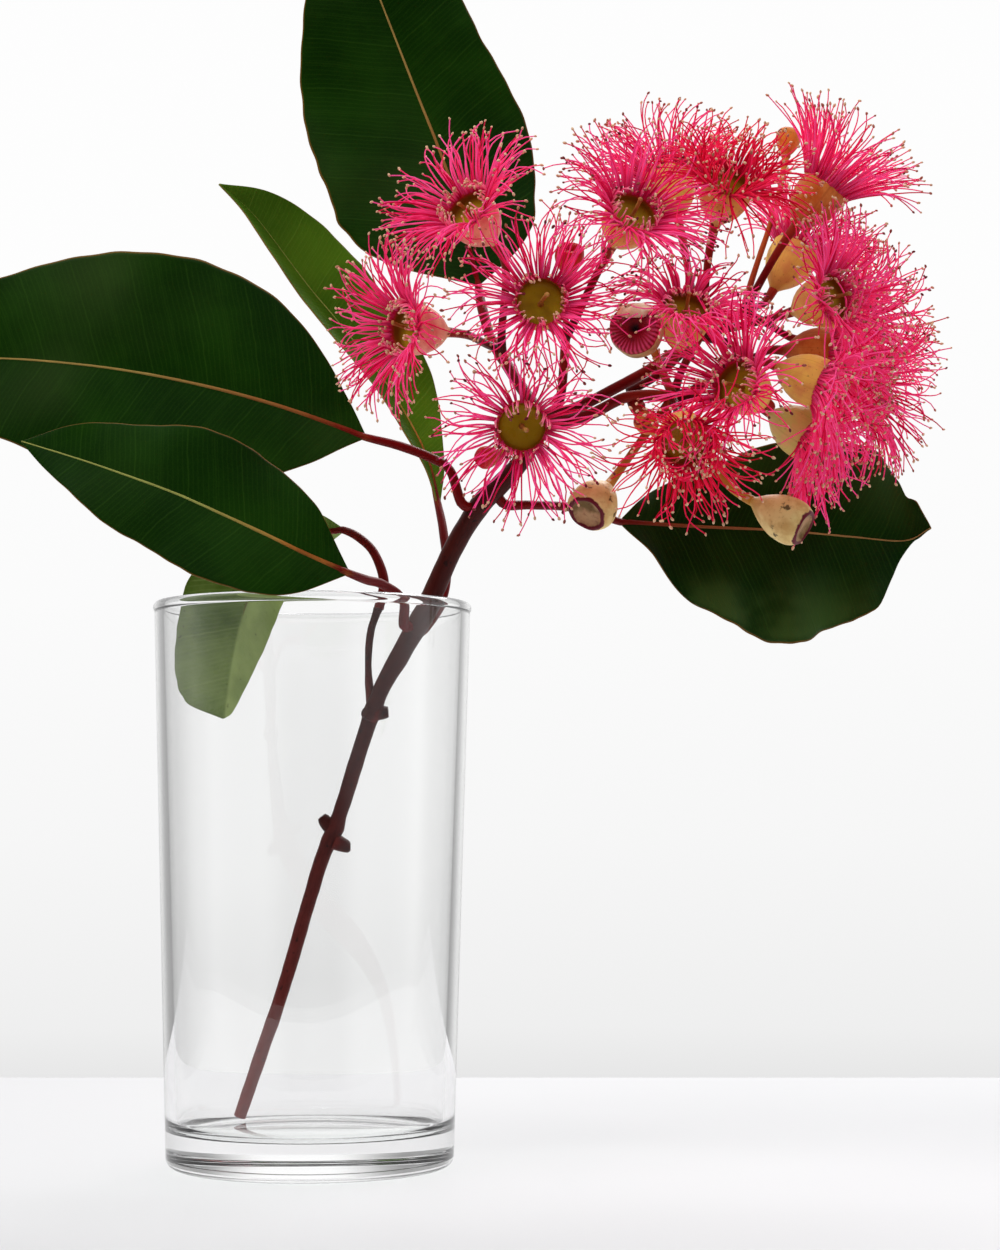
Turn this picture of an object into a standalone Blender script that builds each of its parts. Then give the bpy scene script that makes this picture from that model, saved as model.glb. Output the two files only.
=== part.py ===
"""A pink flowering gum branch that stands in a clear glass tumbler.

Lengths are millimetres until a mesh is made. +X is to the right, +Y goes away from the viewer and +Z is up.
The origin is the centre of the tumbler's flat base. The cut stem stands on the tumbler's floor and leans on
its rim. It carries six leaves, each with its own petiole, and eighteen blooms with seven buds.
"""

import math
import random
from dataclasses import dataclass

import bmesh
import bpy
import numpy as np
from mathutils import Quaternion, Vector
from mathutils.bvhtree import BVHTree

MM = 0.001
GAP = 0.3  # clear space between two pieces that touch

# The tumbler
GLASS_HEIGHT = 124.0
BASE_RADIUS = 31.6
RIM_RADIUS = 35.2
WALL = 2.3
FLOOR = 8.0
BASE_ROUND = 2.4
INNER_ROUND = 3.0
GLASS_SIDES = 36

# The stem and its stalks
STEM_FOOT_RADIUS = 1.5
STEM_RIM_RADIUS = 2.3
FORK_RADIUS = 1.9
PEDICEL_RADIUS = 0.9
PEDICEL_NECK = 1.5  # a flower stalk runs straight into its flower for this length

# A bloom
CUP_LENGTH = 11.3
CUP_RADIUS = 5.5
MOUTH_RADIUS = 5.3
MOUTH_INNER = 4.3
DISC_DEPTH = 2.6
DISC_RADIUS = 3.9
STYLE_LENGTH = 7.0
STYLE_RADIUS = 0.5
CUP_SIDES = 8
ROOTS = 11  # stamens in each of the two whorls of a bloom
RING_HEIGHT = 0.6
ANTHER_START = 0.93  # share of a stamen's length where its anther is widest
BEND = 0.45  # share of a stamen's length where it bends
TRIES = 16  # other courses that a stamen may take before it is left out
STAMEN_LENGTH = 15.5
FILAMENT_RADIUS = 0.3
ANTHER_RADIUS = 0.52
ROOT_RADIUS = 0.7
CLEARANCE = 0.35  # least clear space between two stamens
BELT_RADIUS = 1.3  # how thick the ring is that keeps stamens off the side of a cup

# Leaves
BLADE = 0.7
MIDRIB = 1.3
ACROSS = (-1.0, -0.66, -0.33, 0.0, 0.33, 0.66, 1.0)


@dataclass
class Bloom:
    """One flower: where its mouth is, where it faces, where its stalk starts and how its stamens stand.

    The spread holds the angles from the flower's axis, in degrees, at the root and at the tip of the outer
    whorl's stamens and then of the inner whorl's.
    """

    name: str
    mouth: tuple
    faces: tuple
    joint: tuple
    spread: tuple = (56, 102, 32, 66)
    droop: tuple = (0, 0, 0)
    length: float = STAMEN_LENGTH


@dataclass
class Bud:
    """One bud: its middle, where it points, its size and the place where its stalk leaves the branch."""

    name: str
    middle: tuple
    faces: tuple
    radius: float
    length: float
    joint: tuple
    opened: bool = False


@dataclass
class Leaf:
    """One leaf: the lines of its stalk and midrib, the way its blade faces and its half widths.

    Each entry of the widths is a share of the rib's length and the half widths to its left and right there.
    The fold holds the angles, in degrees, by which the two halves rise out of the blade's plane.
    """

    name: str
    stalk: list
    rib: list
    faces: tuple
    widths: list
    fold: tuple = (8, 8)
    droop: float = 0.08
    wave: float = 1.2
    waves: float = 2.5
    stalk_radius: float = 1.0


STEM = [
    (-17.5, 16.5, 8.4 + STEM_FOOT_RADIUS * 0.3, STEM_FOOT_RADIUS),
    (-12.2, 15, 23.8, 1.55),
    (-7, 13, 38.6, 1.55),
    (1.4, 7, 65.7, 1.65),
    (5.6, 4, 75.8, 1.7),
    (14, -3, 101.1, 1.8),
    (19.7, -8, 111.9, 2.1),
    (26.3, -13.6, 123.5, STEM_RIM_RADIUS),
    (32, -18, 135.2, 2.2),
    (37.4, -22, 143.4, 2.2),
    (41.7, -24, 147.5, 2.2),
    (46.4, -26, 152.6, FORK_RADIUS),
    (51.3, -27, 161.1, 1.7),
]


def stem_side(height, towards):
    """Where a leaf stalk sits on the stem: two points straight out from its surface at a height."""
    for (*start, thin), (*end, thick) in zip(STEM, STEM[1:]):
        if start[2] <= height <= end[2]:
            share = (height - start[2]) / (end[2] - start[2])
            along = (Vector(end) - Vector(start)).normalized()
            place = Vector(start).lerp(Vector(end), share)
            radius = thin + (thick - thin) * share
            out = Vector(towards)
            out = (out - along * out.dot(along)).normalized()
            return [tuple(place + out * (radius + GAP)), tuple(place + out * (radius + 2))]
    raise ValueError(f"the stem has no height {height}")


FORK = STEM[-1][:3]
LEFT_NODE = (39.5, -12.5, 181.5)
FRONT_NODE = (55.8, -27, 178.8)
HUB = (84.7, -25, 179.7)
LOW_HUB = (78.5, -32, 165.5)
FAR_NODE = (95, -13, 187)
RIGHT_NODE = (96, -17, 176)
PEDUNCLES = {
    "left": [(*FORK, 1.4), (46, -20, 169.8, 1.25), (*LEFT_NODE, 1.2)],
    "upright": [(*FORK, 1.3), (54.5, -27, 165.4, 1.0), (*FRONT_NODE, 0.9)],
    "upper": [(*FORK, 1.5), (59.9, -27, 164.6, 1.2), (73.8, -27, 172.1, 1.1), (*HUB, 1.1)],
    "lower": [(51.3, -28, 159.6, 1.2), (60.8, -31, 161.7, 1.15), (68.9, -33, 165.2, 1.1), (*LOW_HUB, 1.1)],
    "cross": [(68.9, -31, 166.5, 0.9), (76.2, -29, 171.1, 0.8), (*HUB, 0.8)],
    "link": [(*LOW_HUB, 1.0), (80.5, -29, 171.5, 0.8), (*HUB, 1.0)],
    "far": [(*HUB, 1.1), (89.5, -20, 183, 1.1), (*FAR_NODE, 1.1)],
    "right": [(*HUB, 1.0), (91, -22, 178.5, 1.0), (*RIGHT_NODE, 1.0)],
    "twig": [
        (13.2, -2.4, 99.8, 0.9), (12.5, -3, 108.9, 0.75), (12.9, -3, 116.7, 0.75), (14.6, -3, 122.2, 1.0),
    ],
}
STUBS = {
    "low left": ((4.6, 4.8, 73.5), (2.1, 4.3, 75.8), 1.5),
    "low right": ((4.6, 5, 71), (7.8, 4.8, 69.6), 1.5),
    "node right": ((13.6, -2.6, 99.5), (16.6, -3, 99.3), 1.5),
    "node left": ((13.6, -2.6, 98.5), (11.9, -4.4, 99.2), 1.4),
    "knob": ((69.4, -31.4, 165.4), (70.8, -32.2, 163.2), 1.5),
}

SIDE_SPREAD = (50, 100, 16, 58)
BLOOMS = [
    Bloom("bloom_a", (34.9, -38, 204.2), (-0.5, -0.72, 0.48), (42.3, -15.9, 176.6)),
    Bloom("bloom_b", (21.8, -40, 178.6), (-0.8, -0.6, -0.03), (41, -14.4, 178.9)),
    Bloom("bloom_c", (50.1, -50, 182.4), (0, -1, 0.08), FRONT_NODE),
    Bloom("bloom_d", (46.2, -50, 156.3), (0, -0.97, -0.2), (51.3, -27.5, 160.5), droop=(0, 0, -1.5)),
    Bloom("bloom_e", (69.6, -46, 201.7), (0.36, -0.83, 0.43), FRONT_NODE),
    Bloom("bloom_f", (90.1, -38, 210.2), (0.2, -0.72, 0.66), HUB, (48, 96, 14, -40), length=14.5),
    Bloom("bloom_g", (112.8, -18, 213.8), (0.6, -0.1, 0.79), FAR_NODE, (34, 70, 12, 36), length=18),
    Bloom("bloom_h", (80.5, -46, 182.1), (0.15, -0.7, 0.7), (76, -27, 173.4)),
    Bloom("bloom_i", (89.9, -54, 164.5), (-0.6, -0.77, 0.2), LOW_HUB),
    Bloom("bloom_j", (79.5, -56, 152.1), (0.05, -0.86, -0.5), LOW_HUB, (48, 96, 16, -45), length=14.5),
    Bloom("bloom_k", (111.8, -38, 185.6), (0.7, -0.7, 0.15), HUB),
    Bloom("bloom_l", (113.4, -26, 175.6), (0.94, -0.3, -0.12), RIGHT_NODE, SIDE_SPREAD),
    Bloom("bloom_m", (108, -28, 157), (0.75, -0.35, -0.55), RIGHT_NODE, droop=(0, 0, -2.5)),
    Bloom("bloom_n", (108.3, -2, 203.3), (0.5, 0.15, 0.85), FAR_NODE, SIDE_SPREAD),
    Bloom("bloom_p", (123, -12, 170.5), (0.88, -0.38, -0.28), RIGHT_NODE, SIDE_SPREAD, (0, 0, -1.5), 16.5),
    Bloom("bloom_q", (122, -2, 187), (0.88, 0.3, 0.35), FAR_NODE, SIDE_SPREAD, length=16.5),
    Bloom("bloom_r", (109.5, -38, 166.8), (0.85, -0.3, -0.42), LOW_HUB, SIDE_SPREAD, (0, 0, -4)),
    Bloom("bloom_t", (79.6, 0, 220.1), (-0.15, 0.45, 0.88), HUB, SIDE_SPREAD),
]

BUDS = [
    Bud("bud_front", (62, -37, 142.6), (-0.45, -0.62, -0.64), 5.2, 12, LOW_HUB),
    Bud("bud_right", (100, -40, 139.2), (0.8, -0.35, -0.48), 4.9, 14.5, LOW_HUB),
    Bud("bud_open", (70.4, -50, 175.8), (-0.32, -0.94, 0.1), 5.6, 9.5, LOW_HUB, opened=True),
    Bud("bud_low", (72.6, -41, 158.2), (-0.5, -0.6, 0.5), 2.6, 6, LOW_HUB),
    Bud("bud_red", (56.3, -34, 193.9), (0.1, -0.6, 0.8), 3.1, 7, FRONT_NODE, opened=True),
    Bud("bud_left", (39.4, -38, 151.8), (-0.7, -0.6, -0.3), 2.4, 6, (47, -26.4, 153.6)),
    Bud("bud_top", (107, 4, 229), (0.15, 0.2, 0.95), 2.8, 7.5, FAR_NODE),
]

LEAVES = [
    Leaf(
        "leaf_left",
        [*stem_side(142.5, (-0.7, -0.5, 0.4)), (31, -25, 150.5), (27, -24, 153.3), (20.1, -22, 156.2),
         (12.5, -21, 158.3)],
        [(12.5, -21, 158.3), (4.9, -20, 161.3), (-6, -19, 165.2), (-19, -18, 169), (-34.6, -17, 172.5),
         (-50, -16, 174.9), (-67.7, -15, 176.4), (-82, -13, 176.2), (-94, -10, 178.5)],
        (0.03, -0.98, 0.18),
        [(0.07, 9, 7.6), (0.14, 15.3, 14.4), (0.23, 19.5, 22), (0.365, 22.5, 27.4), (0.5, 24.4, 27.4),
         (0.64, 21.8, 24.4), (0.755, 17.8, 19.4), (0.875, 10.6, 11.4)],
    ),
    Leaf(
        "leaf_front",
        [*stem_side(118, (-0.5, -0.85, 0.2)), (20.5, -22, 123.2), (16.7, -28.5, 125.7), (13.6, -33.5, 126.2),
         (10, -39, 127.2)],
        [(10, -39, 127.2), (0.7, -41, 131.2), (-6, -42, 134.4), (-15.8, -43, 138.9), (-25.6, -44, 143.2),
         (-35.6, -44, 146.9), (-45.5, -43, 150.4), (-58.2, -40, 154.6)],
        (-0.05, -0.93, 0.35),
        [(0.07, 6, 5.2), (0.144, 10.6, 9.8), (0.245, 13.7, 13.4), (0.394, 15.5, 16), (0.542, 13.6, 15.5),
         (0.687, 11.7, 12.3), (0.827, 7, 8.6), (0.917, 3.7, 4.8)],
    ),
    Leaf(
        "leaf_top",
        [(39.3, -12.2, 182.2), (37.6, -7.5, 189.6), (36.8, -2, 195.3)],
        [(36.8, -2, 195.3), (32.2, 3, 214.6), (28.1, 5, 227.1), (23.7, 6, 238.5), (20, 6, 248),
         (14.3, 5, 262.6), (8.6, 3, 277.1), (4.2, 0, 287.7)],
        (0.1, -0.98, 0.1),
        [(0.055, 13.9, 9.4), (0.11, 21.9, 14.8), (0.195, 27, 17.9), (0.32, 28, 21), (0.44, 28, 20.3),
         (0.545, 26.2, 18.8), (0.705, 20.2, 17.2), (0.865, 11.2, 10.6), (0.95, 4.9, 4.9)],
    ),
    Leaf(
        "leaf_small",
        [*stem_side(117, (0.6, 0.8, 0.3)), (28.8, -5.5, 124), (29.9, -1.5, 131.2), (28.9, 4, 140.8),
         (27.7, 8, 146.9)],
        [(27.7, 8, 146.9), (24.6, 13, 159), (16.3, 17, 174.6), (4.6, 19, 190.1), (-3.3, 19, 199.7),
         (-15, 16, 214.8), (-22.9, 12, 221.6)],
        (0.15, -0.98, 0),
        [(0.06, 2.2, 2.2), (0.14, 5, 4.4), (0.33, 8, 10.6), (0.52, 9, 12.4), (0.66, 8.6, 13),
         (0.86, 5.5, 8.5)],
        fold=(62, 6),
    ),
    Leaf(
        "leaf_right",
        [*stem_side(146, (0.7, 0.3, -0.6)), (48.6, -20.5, 143.6), (58.1, -14, 143.7), (68.2, -8, 141.3)],
        [(68.2, -8, 141.3), (86.2, -2, 140.8), (104.4, 2, 140.4), (120.4, 4, 139.2), (132.7, 4, 138.3),
         (138.3, 2, 141)],
        (0.05, -0.97, 0.2),
        [(0.077, 6, 6.6), (0.25, 12.6, 19.6), (0.404, 17.7, 24.8), (0.57, 21, 27), (0.728, 21.2, 21),
         (0.843, 20.2, 13.4), (0.907, 17, 5.4), (0.96, 10.5, 2.4)],
        wave=1.8,
        waves=4,
    ),
    Leaf(
        "leaf_hanging",
        [(14.75, -3, 122.7), (15.9, -2.2, 128.6), (13.6, 0, 135.2), (9.9, 2, 139), (6.4, 4, 140.8)],
        [(6.4, 4, 140.8), (-1.2, 6, 139.9), (-9.2, 8, 135.5), (-15.5, 9, 125.4), (-18.6, 7, 112.8),
         (-20.3, 4, 98.3)],
        (-0.3, 0.85, 0.25),
        [(0.08, 4, 4), (0.2, 8, 8), (0.36, 12, 11), (0.53, 14.4, 13), (0.69, 13.8, 11), (0.85, 12.3, 7.5),
         (0.93, 11.3, 5.5), (0.985, 9, 3.2)],
        fold=(10, 34),
        wave=0.6,
    ),
]


def clear_scene():
    """Removes the start-up objects."""
    for thing in list(bpy.data.objects):
        bpy.data.objects.remove(thing, do_unlink=True)


def material(name, colour, roughness, transmission=0.0):
    """A plain Principled material in linear colour."""
    made = bpy.data.materials.new(name)
    made.use_nodes = True
    shader = made.node_tree.nodes["Principled BSDF"]
    shader.inputs["Base Color"].default_value = (*colour, 1)
    shader.inputs["Roughness"].default_value = roughness
    shader.inputs["Transmission Weight"].default_value = transmission
    return made


def placed(name, mesh, group, finish, smooth=True):
    """Puts a mesh in the branch's collection as one named object."""
    thing = bpy.data.objects.new(name, mesh)
    group.objects.link(thing)
    mesh.materials.clear()
    mesh.materials.append(finish)
    if smooth:
        mesh.shade_smooth()
        mesh.set_sharp_from_angle(angle=math.radians(40))
    return thing


def facing(direction):
    """The turn that takes +Z to a direction."""
    return Vector(direction).to_track_quat("Z", "Y")


def smooth_line(points, spacing):
    """Points every so many millimetres along a curve through the given ones, with what follows their xyz."""
    knots = [np.array(point, float) for point in points]
    knots = [2 * knots[0] - knots[1], *knots, 2 * knots[-1] - knots[-2]]
    line = [knots[1]]
    for before, start, end, after in zip(knots, knots[1:], knots[2:], knots[3:]):
        count = max(1, round(np.linalg.norm((end - start)[:3]) / spacing))
        for step in range(1, count + 1):
            t = step / count
            line.append(
                0.5 * (2 * start + (end - before) * t + (2 * before - 5 * start + 4 * end - after) * t**2
                       + (3 * start - before - 3 * end + after) * t**3)
            )
    return line


def tube(points, resolution=1, spacing=5):
    """A round tube through points of x, y, z and radius, as a closed mesh object."""
    line = smooth_line(points, spacing)
    curve = bpy.data.curves.new("tube", "CURVE")
    curve.dimensions = "3D"
    curve.bevel_depth = MM
    curve.bevel_resolution = resolution
    curve.use_fill_caps = True
    spline = curve.splines.new("POLY")
    spline.points.add(len(line) - 1)
    for point, (x, y, z, radius) in zip(spline.points, line):
        point.co = (x * MM, y * MM, z * MM, 1)
        point.radius = radius
    source = bpy.data.objects.new("tube", curve)
    bpy.context.scene.collection.objects.link(source)
    mesh = bpy.data.meshes.new_from_object(source.evaluated_get(bpy.context.evaluated_depsgraph_get()))
    bpy.data.objects.remove(source)
    shape = bmesh.new()
    shape.from_mesh(mesh)
    bmesh.ops.remove_doubles(shape, verts=shape.verts, dist=1e-6)
    bmesh.ops.triangulate(shape, faces=[face for face in shape.faces if len(face.verts) > 4])
    bmesh.ops.recalc_face_normals(shape, faces=shape.faces)
    shape.to_mesh(mesh)
    shape.free()
    thing = bpy.data.objects.new("tube", mesh)
    bpy.context.scene.collection.objects.link(thing)
    return thing


def fused(pieces):
    """Joins overlapping mesh objects by one Boolean union and returns the mesh."""
    body = pieces[0]
    group = bpy.data.collections.new("pieces")
    bpy.context.scene.collection.children.link(group)
    for piece in pieces[1:]:
        bpy.context.scene.collection.objects.unlink(piece)
        group.objects.link(piece)
    union = body.modifiers.new("union", "BOOLEAN")
    union.operation = "UNION"
    union.solver = "MANIFOLD"
    union.operand_type = "COLLECTION"
    union.collection = group
    mesh = bpy.data.meshes.new_from_object(body.evaluated_get(bpy.context.evaluated_depsgraph_get()))
    for piece in pieces:
        bpy.data.objects.remove(piece)
    bpy.data.collections.remove(group)
    return mesh


def turned(name, profile, sides, group, finish):
    """A turned solid whose profile runs from the axis over its outer side and back to the axis."""
    mesh = bpy.data.meshes.new(name)
    points = [(radius * MM, 0, height * MM) for radius, height in profile]
    mesh.from_pydata(points, [(i, i + 1) for i in range(len(points) - 1)], [])
    thing = bpy.data.objects.new(name, mesh)
    group.objects.link(thing)
    mesh.materials.append(finish)
    screw = thing.modifiers.new("turn", "SCREW")
    screw.steps = sides
    screw.render_steps = sides
    screw.use_merge_vertices = True
    screw.merge_threshold = 0.00001
    screw.use_smooth_shade = True
    return thing


def arc(centre, radius, start, end, count):
    """Points of a round corner, by its angles in degrees."""
    turns = [math.radians(start + (end - start) * i / count) for i in range(count + 1)]
    return [(centre[0] + radius * math.cos(turn), centre[1] + radius * math.sin(turn)) for turn in turns]


def glass(group, finish):
    """The tumbler: a thick floor, a slightly tapered wall and a round rim."""
    inner_floor = BASE_RADIUS - WALL
    inner_rim = RIM_RADIUS - WALL
    lip = WALL / 2
    profile = [(0, FLOOR)]
    profile += arc((inner_floor - INNER_ROUND, FLOOR + INNER_ROUND), INNER_ROUND, -90, 0, 3)
    profile += arc((inner_rim + lip, GLASS_HEIGHT - lip), lip, 180, 0, 4)
    profile += arc((BASE_RADIUS - BASE_ROUND, BASE_ROUND), BASE_ROUND, 0, -90, 3)
    profile += [(0, 0)]
    return turned("glass", profile, GLASS_SIDES, group, finish)


def pedicel(joint, base, axis, radius):
    """The points of a flower's stalk: out of the branch, then round into line with the flower."""
    start, end, axis = Vector(joint), Vector(base), Vector(axis).normalized()
    reach = (end - start).length
    leave = start.lerp(end, 0.35) + axis * reach * 0.05
    neck = end - axis * PEDICEL_NECK
    arrive = neck - axis * reach * 0.3
    points = []
    for step in range(4):
        t = step / 3
        rest = 1 - t
        place = rest**3 * start + 3 * t * rest**2 * leave + 3 * t * t * rest * arrive + t**3 * neck
        points.append((*place, radius))
    return [*points, (*end, radius * 1.2)]


def cup_base(bloom):
    """Where a flower's cup meets its stalk."""
    return Vector(bloom.mouth) - Vector(bloom.faces).normalized() * CUP_LENGTH


def bud_base(bud):
    """Where a bud meets its stalk."""
    return Vector(bud.middle) - Vector(bud.faces).normalized() * bud.length / 2


def stalk_lines():
    """Every stalk that is part of the branch, as lines of x, y, z and radius."""
    lines = list(PEDUNCLES.values())
    for bloom in BLOOMS:
        lines.append(pedicel(bloom.joint, cup_base(bloom), bloom.faces, PEDICEL_RADIUS))
    for bud in BUDS:
        slim = PEDICEL_RADIUS * (1 if bud.radius > 4 else 0.75)
        lines.append(pedicel(bud.joint, bud_base(bud), bud.faces, slim))
    return lines


def branch(group, finish):
    """The stem with its stubs, peduncles and every flower stalk, grown as one piece."""
    pieces = [tube(STEM, 2, 10)]
    pieces += [tube(line, 1, 12) for line in stalk_lines()]
    for root, tip, radius in STUBS.values():
        pieces.append(tube([(*root, radius), (*tip, radius * 0.7)], 1, 9))
    return placed("branch", fused(pieces), group, finish)


def cup(bloom, group, finish):
    """The urn under the stamens, with its nectar disc and style."""
    disc = CUP_LENGTH - DISC_DEPTH
    profile = [
        (0, disc + STYLE_LENGTH),
        (STYLE_RADIUS * 0.9, disc + STYLE_LENGTH - 0.8),
        (STYLE_RADIUS, disc + 0.5),
        (DISC_RADIUS, disc),
        (MOUTH_INNER, CUP_LENGTH),
        (MOUTH_RADIUS, CUP_LENGTH),
        (CUP_RADIUS, CUP_LENGTH - 3),
        (CUP_RADIUS * 0.8, CUP_LENGTH - 7.2),
        (CUP_RADIUS * 0.36, 1),
        (1.1, GAP),
        (0, GAP),
    ]
    thing = turned(bloom.name.replace("bloom", "cup"), profile, CUP_SIDES, group, finish)
    thing.rotation_mode = "QUATERNION"
    thing.rotation_quaternion = facing(bloom.faces)
    thing.location = cup_base(bloom) * MM
    return thing


def bud_profile(bud):
    """A closed bud is an urn with a low cap; an opened one shows the flat disc of its folded stamens."""
    r, h = bud.radius, bud.length
    if bud.opened:
        top = [(0, h - 1.2), (0.18 * r, h - 1.3), (0.78 * r, h - 0.3), (0.9 * r, h)]
    else:
        top = [(0, h), (0.16 * r, h - 0.3), (0.4 * r, h - 0.8), (0.68 * r, h - 1.7)]
    side = [(r, h * 0.72), (0.94 * r, h * 0.5), (0.6 * r, h * 0.24), (min(1.2, 0.3 * r + 0.3), h * 0.06)]
    return top + side + [(min(1.1, 0.3 * r + 0.2), GAP), (0, GAP)]


def bud_solid(bud, group, finish):
    """One bud on the end of its stalk."""
    thing = turned(bud.name, bud_profile(bud), CUP_SIDES + 2, group, finish)
    thing.rotation_mode = "QUATERNION"
    thing.rotation_quaternion = facing(bud.faces)
    thing.location = bud_base(bud) * MM
    return thing


def half_widths(leaf, t):
    """The blade's half widths on its two sides at a share of the rib's length."""
    stations = [(0, 0.9, 0.9), *leaf.widths, (1, 0.3, 0.3)]
    shares = [station[0] for station in stations]
    return [float(np.interp(t, shares, [station[side] for station in stations])) for side in (1, 2)]


def rib_line(leaf, count):
    """Even stations along the midrib."""
    line = np.array(smooth_line(leaf.rib, 2))
    steps = np.linalg.norm(np.diff(line, axis=0), axis=1)
    along = np.concatenate([[0], np.cumsum(steps)]) / steps.sum()
    shares = [0.5 - 0.5 * math.cos(math.pi * (0.04 + 0.96 * i / count)) for i in range(count + 1)]
    shares = [(share - shares[0]) / (1 - shares[0]) for share in shares]
    places = [Vector([np.interp(share, along, line[:, axis]) for axis in range(3)]) for share in shares]
    return shares, places


def blade_grid(leaf, count=12):
    """The middle surface of the blade: rows along the rib, each with a point for every share across."""
    shares, spine = rib_line(leaf, count)
    up = Vector(leaf.faces).normalized()
    rows = []
    for i, (share, place) in enumerate(zip(shares, spine)):
        along = (spine[min(i + 1, count)] - spine[max(i - 1, 0)]).normalized()
        side = along.cross(up).normalized()
        normal = side.cross(along).normalized()
        row = []
        for v in ACROSS:
            width = half_widths(leaf, share)[0 if v < 0 else 1]
            turn = math.radians(leaf.fold[0 if v < 0 else 1])
            out = abs(v) * width
            ripple = leaf.wave * v * v * math.sin(math.tau * leaf.waves * share + (2 if v < 0 else 0))
            ripple *= min(1, width / 8)
            lift = out * math.sin(turn) - leaf.droop * out * abs(v) + ripple
            row.append(place + side * math.copysign(out * math.cos(turn), v) + normal * lift)
        rows.append(row)
    return rows


def grid_normals(rows):
    """The upward normal at each point of a grid."""
    normals = []
    last_row, last = len(rows) - 1, len(ACROSS) - 1
    for i, row in enumerate(rows):
        found = []
        for j in range(len(row)):
            along = rows[min(i + 1, last_row)][j] - rows[max(i - 1, 0)][j]
            across = row[min(j + 1, last)] - row[max(j - 1, 0)]
            found.append(across.cross(along).normalized())
        normals.append(found)
    return normals


def blade(leaf):
    """The blade as a closed solid, thick along its rib, split into triangles alike on both faces."""
    rows = blade_grid(leaf)
    normals = grid_normals(rows)
    shape = bmesh.new()
    faces = []
    for sign in (1, -1):
        layer = []
        for i, row in enumerate(rows):
            taper = 1 - i / (len(rows) - 1)
            line = []
            for j, place in enumerate(row):
                rib = MIDRIB * taper if ACROSS[j] == 0 and sign < 0 else 0
                thick = (BLADE / 2 + rib / 2) * sign
                line.append(shape.verts.new((place + normals[i][j] * thick) * MM))
            layer.append(line)
        faces.append(layer)
    top, under = faces
    last = len(ACROSS) - 1
    for i in range(len(rows) - 1):
        for j in range(last):
            for layer, flip in ((top, False), (under, True)):
                a, b, c, d = layer[i][j], layer[i][j + 1], layer[i + 1][j + 1], layer[i + 1][j]
                pair = ((a, b, c), (a, c, d)) if j < last / 2 else ((a, b, d), (b, c, d))
                for corners in pair:
                    shape.faces.new(corners[::-1] if flip else corners)
        for j in (0, last):
            shape.faces.new((top[i][j], top[i + 1][j], under[i + 1][j], under[i][j]))
    for i in (0, len(rows) - 1):
        for j in range(last):
            shape.faces.new((top[i][j], under[i][j], under[i][j + 1], top[i][j + 1]))
    bmesh.ops.recalc_face_normals(shape, faces=shape.faces)
    mesh = bpy.data.meshes.new(leaf.name)
    shape.to_mesh(mesh)
    shape.free()
    thing = bpy.data.objects.new(leaf.name + " blade", mesh)
    bpy.context.scene.collection.objects.link(thing)
    return thing


def leaf_solid(leaf, group, finish):
    """One leaf: its blade fused to its stalk, which runs on under the start of the midrib."""
    _, spine = rib_line(leaf, 8)
    stalk = [(*place, leaf.stalk_radius) for place in leaf.stalk]
    stalk += [(*spine[1], leaf.stalk_radius * 0.9), (*spine[2], leaf.stalk_radius * 0.6)]
    return placed(leaf.name, fused([blade(leaf), tube(stalk, 1, 5)]), group, finish)


class Clearance:
    """Keeps every stamen clear of what is already there."""

    def __init__(self, surfaces):
        self.starts, self.ends, self.radii, self.owners = [], [], [], []
        self.surfaces = surfaces

    def add(self, points, radius, owner=""):
        """Adds a line of capsules."""
        for start, end in zip(points, points[1:]):
            self.starts.append(tuple(start))
            self.ends.append(tuple(end))
            self.radii.append(radius)
            self.owners.append(owner)

    def free(self, points, radius, owner):
        """Whether a line of points keeps its distance from every capsule and surface, its own root apart."""
        starts, ends, radii = np.array(self.starts), np.array(self.ends), np.array(self.radii)
        others = np.array([name != owner for name in self.owners])
        for number, (start, end) in enumerate(zip(points, points[1:])):
            thick = radius if number else ROOT_RADIUS
            apart = segment_distance(np.array(start), np.array(end), starts, ends) - radii - thick
            if number == 0:
                apart = apart[others]
            if apart.min() < CLEARANCE:
                return False
            steps = max(2, round((end - start).length / 0.7))
            for step in range(steps + 1):
                spot = start.lerp(end, step / steps)
                for surface in self.surfaces:
                    if surface.find_nearest(spot, radius + BLADE)[0] is not None:
                        return False
        return True


def segment_distance(p, q, starts, ends):
    """The least distance from one segment to each of many."""
    d1, d2, r = q - p, ends - starts, p - starts
    a, e = d1 @ d1, (d2 * d2).sum(1)
    b, c, f = d2 @ d1, r @ d1, (d2 * r).sum(1)
    slope = np.maximum(a * e - b * b, 1e-9)
    s = np.clip((b * f - c * e) / slope, 0, 1)
    t = np.clip((b * s + f) / e, 0, 1)
    s = np.clip((b * t - c) / a, 0, 1)
    near = r + s[:, None] * d1 - t[:, None] * d2
    return np.linalg.norm(near, axis=1)


def stamen_line(bloom, azimuth, start_angle, end_angle, length, crest):
    """Points of one stamen in its flower's own frame: root, bend, anther and tip."""
    outward = Vector((math.cos(azimuth), math.sin(azimuth), 0))
    pull = facing(bloom.faces).inverted() @ Vector(bloom.droop)
    first, last = math.radians(start_angle), math.radians(end_angle)
    bend = last - first
    points = []
    for share in (BEND, ANTHER_START, 1.0):
        now = first + bend * share
        out = (math.cos(first) - math.cos(now)) / bend if abs(bend) > 0.01 else share * math.sin(first)
        up = (math.sin(now) - math.sin(first)) / bend if abs(bend) > 0.01 else share * math.cos(first)
        points.append(crest + outward * length * out + Vector((0, 0, length * up)) + pull * share**2)
    return points


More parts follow.
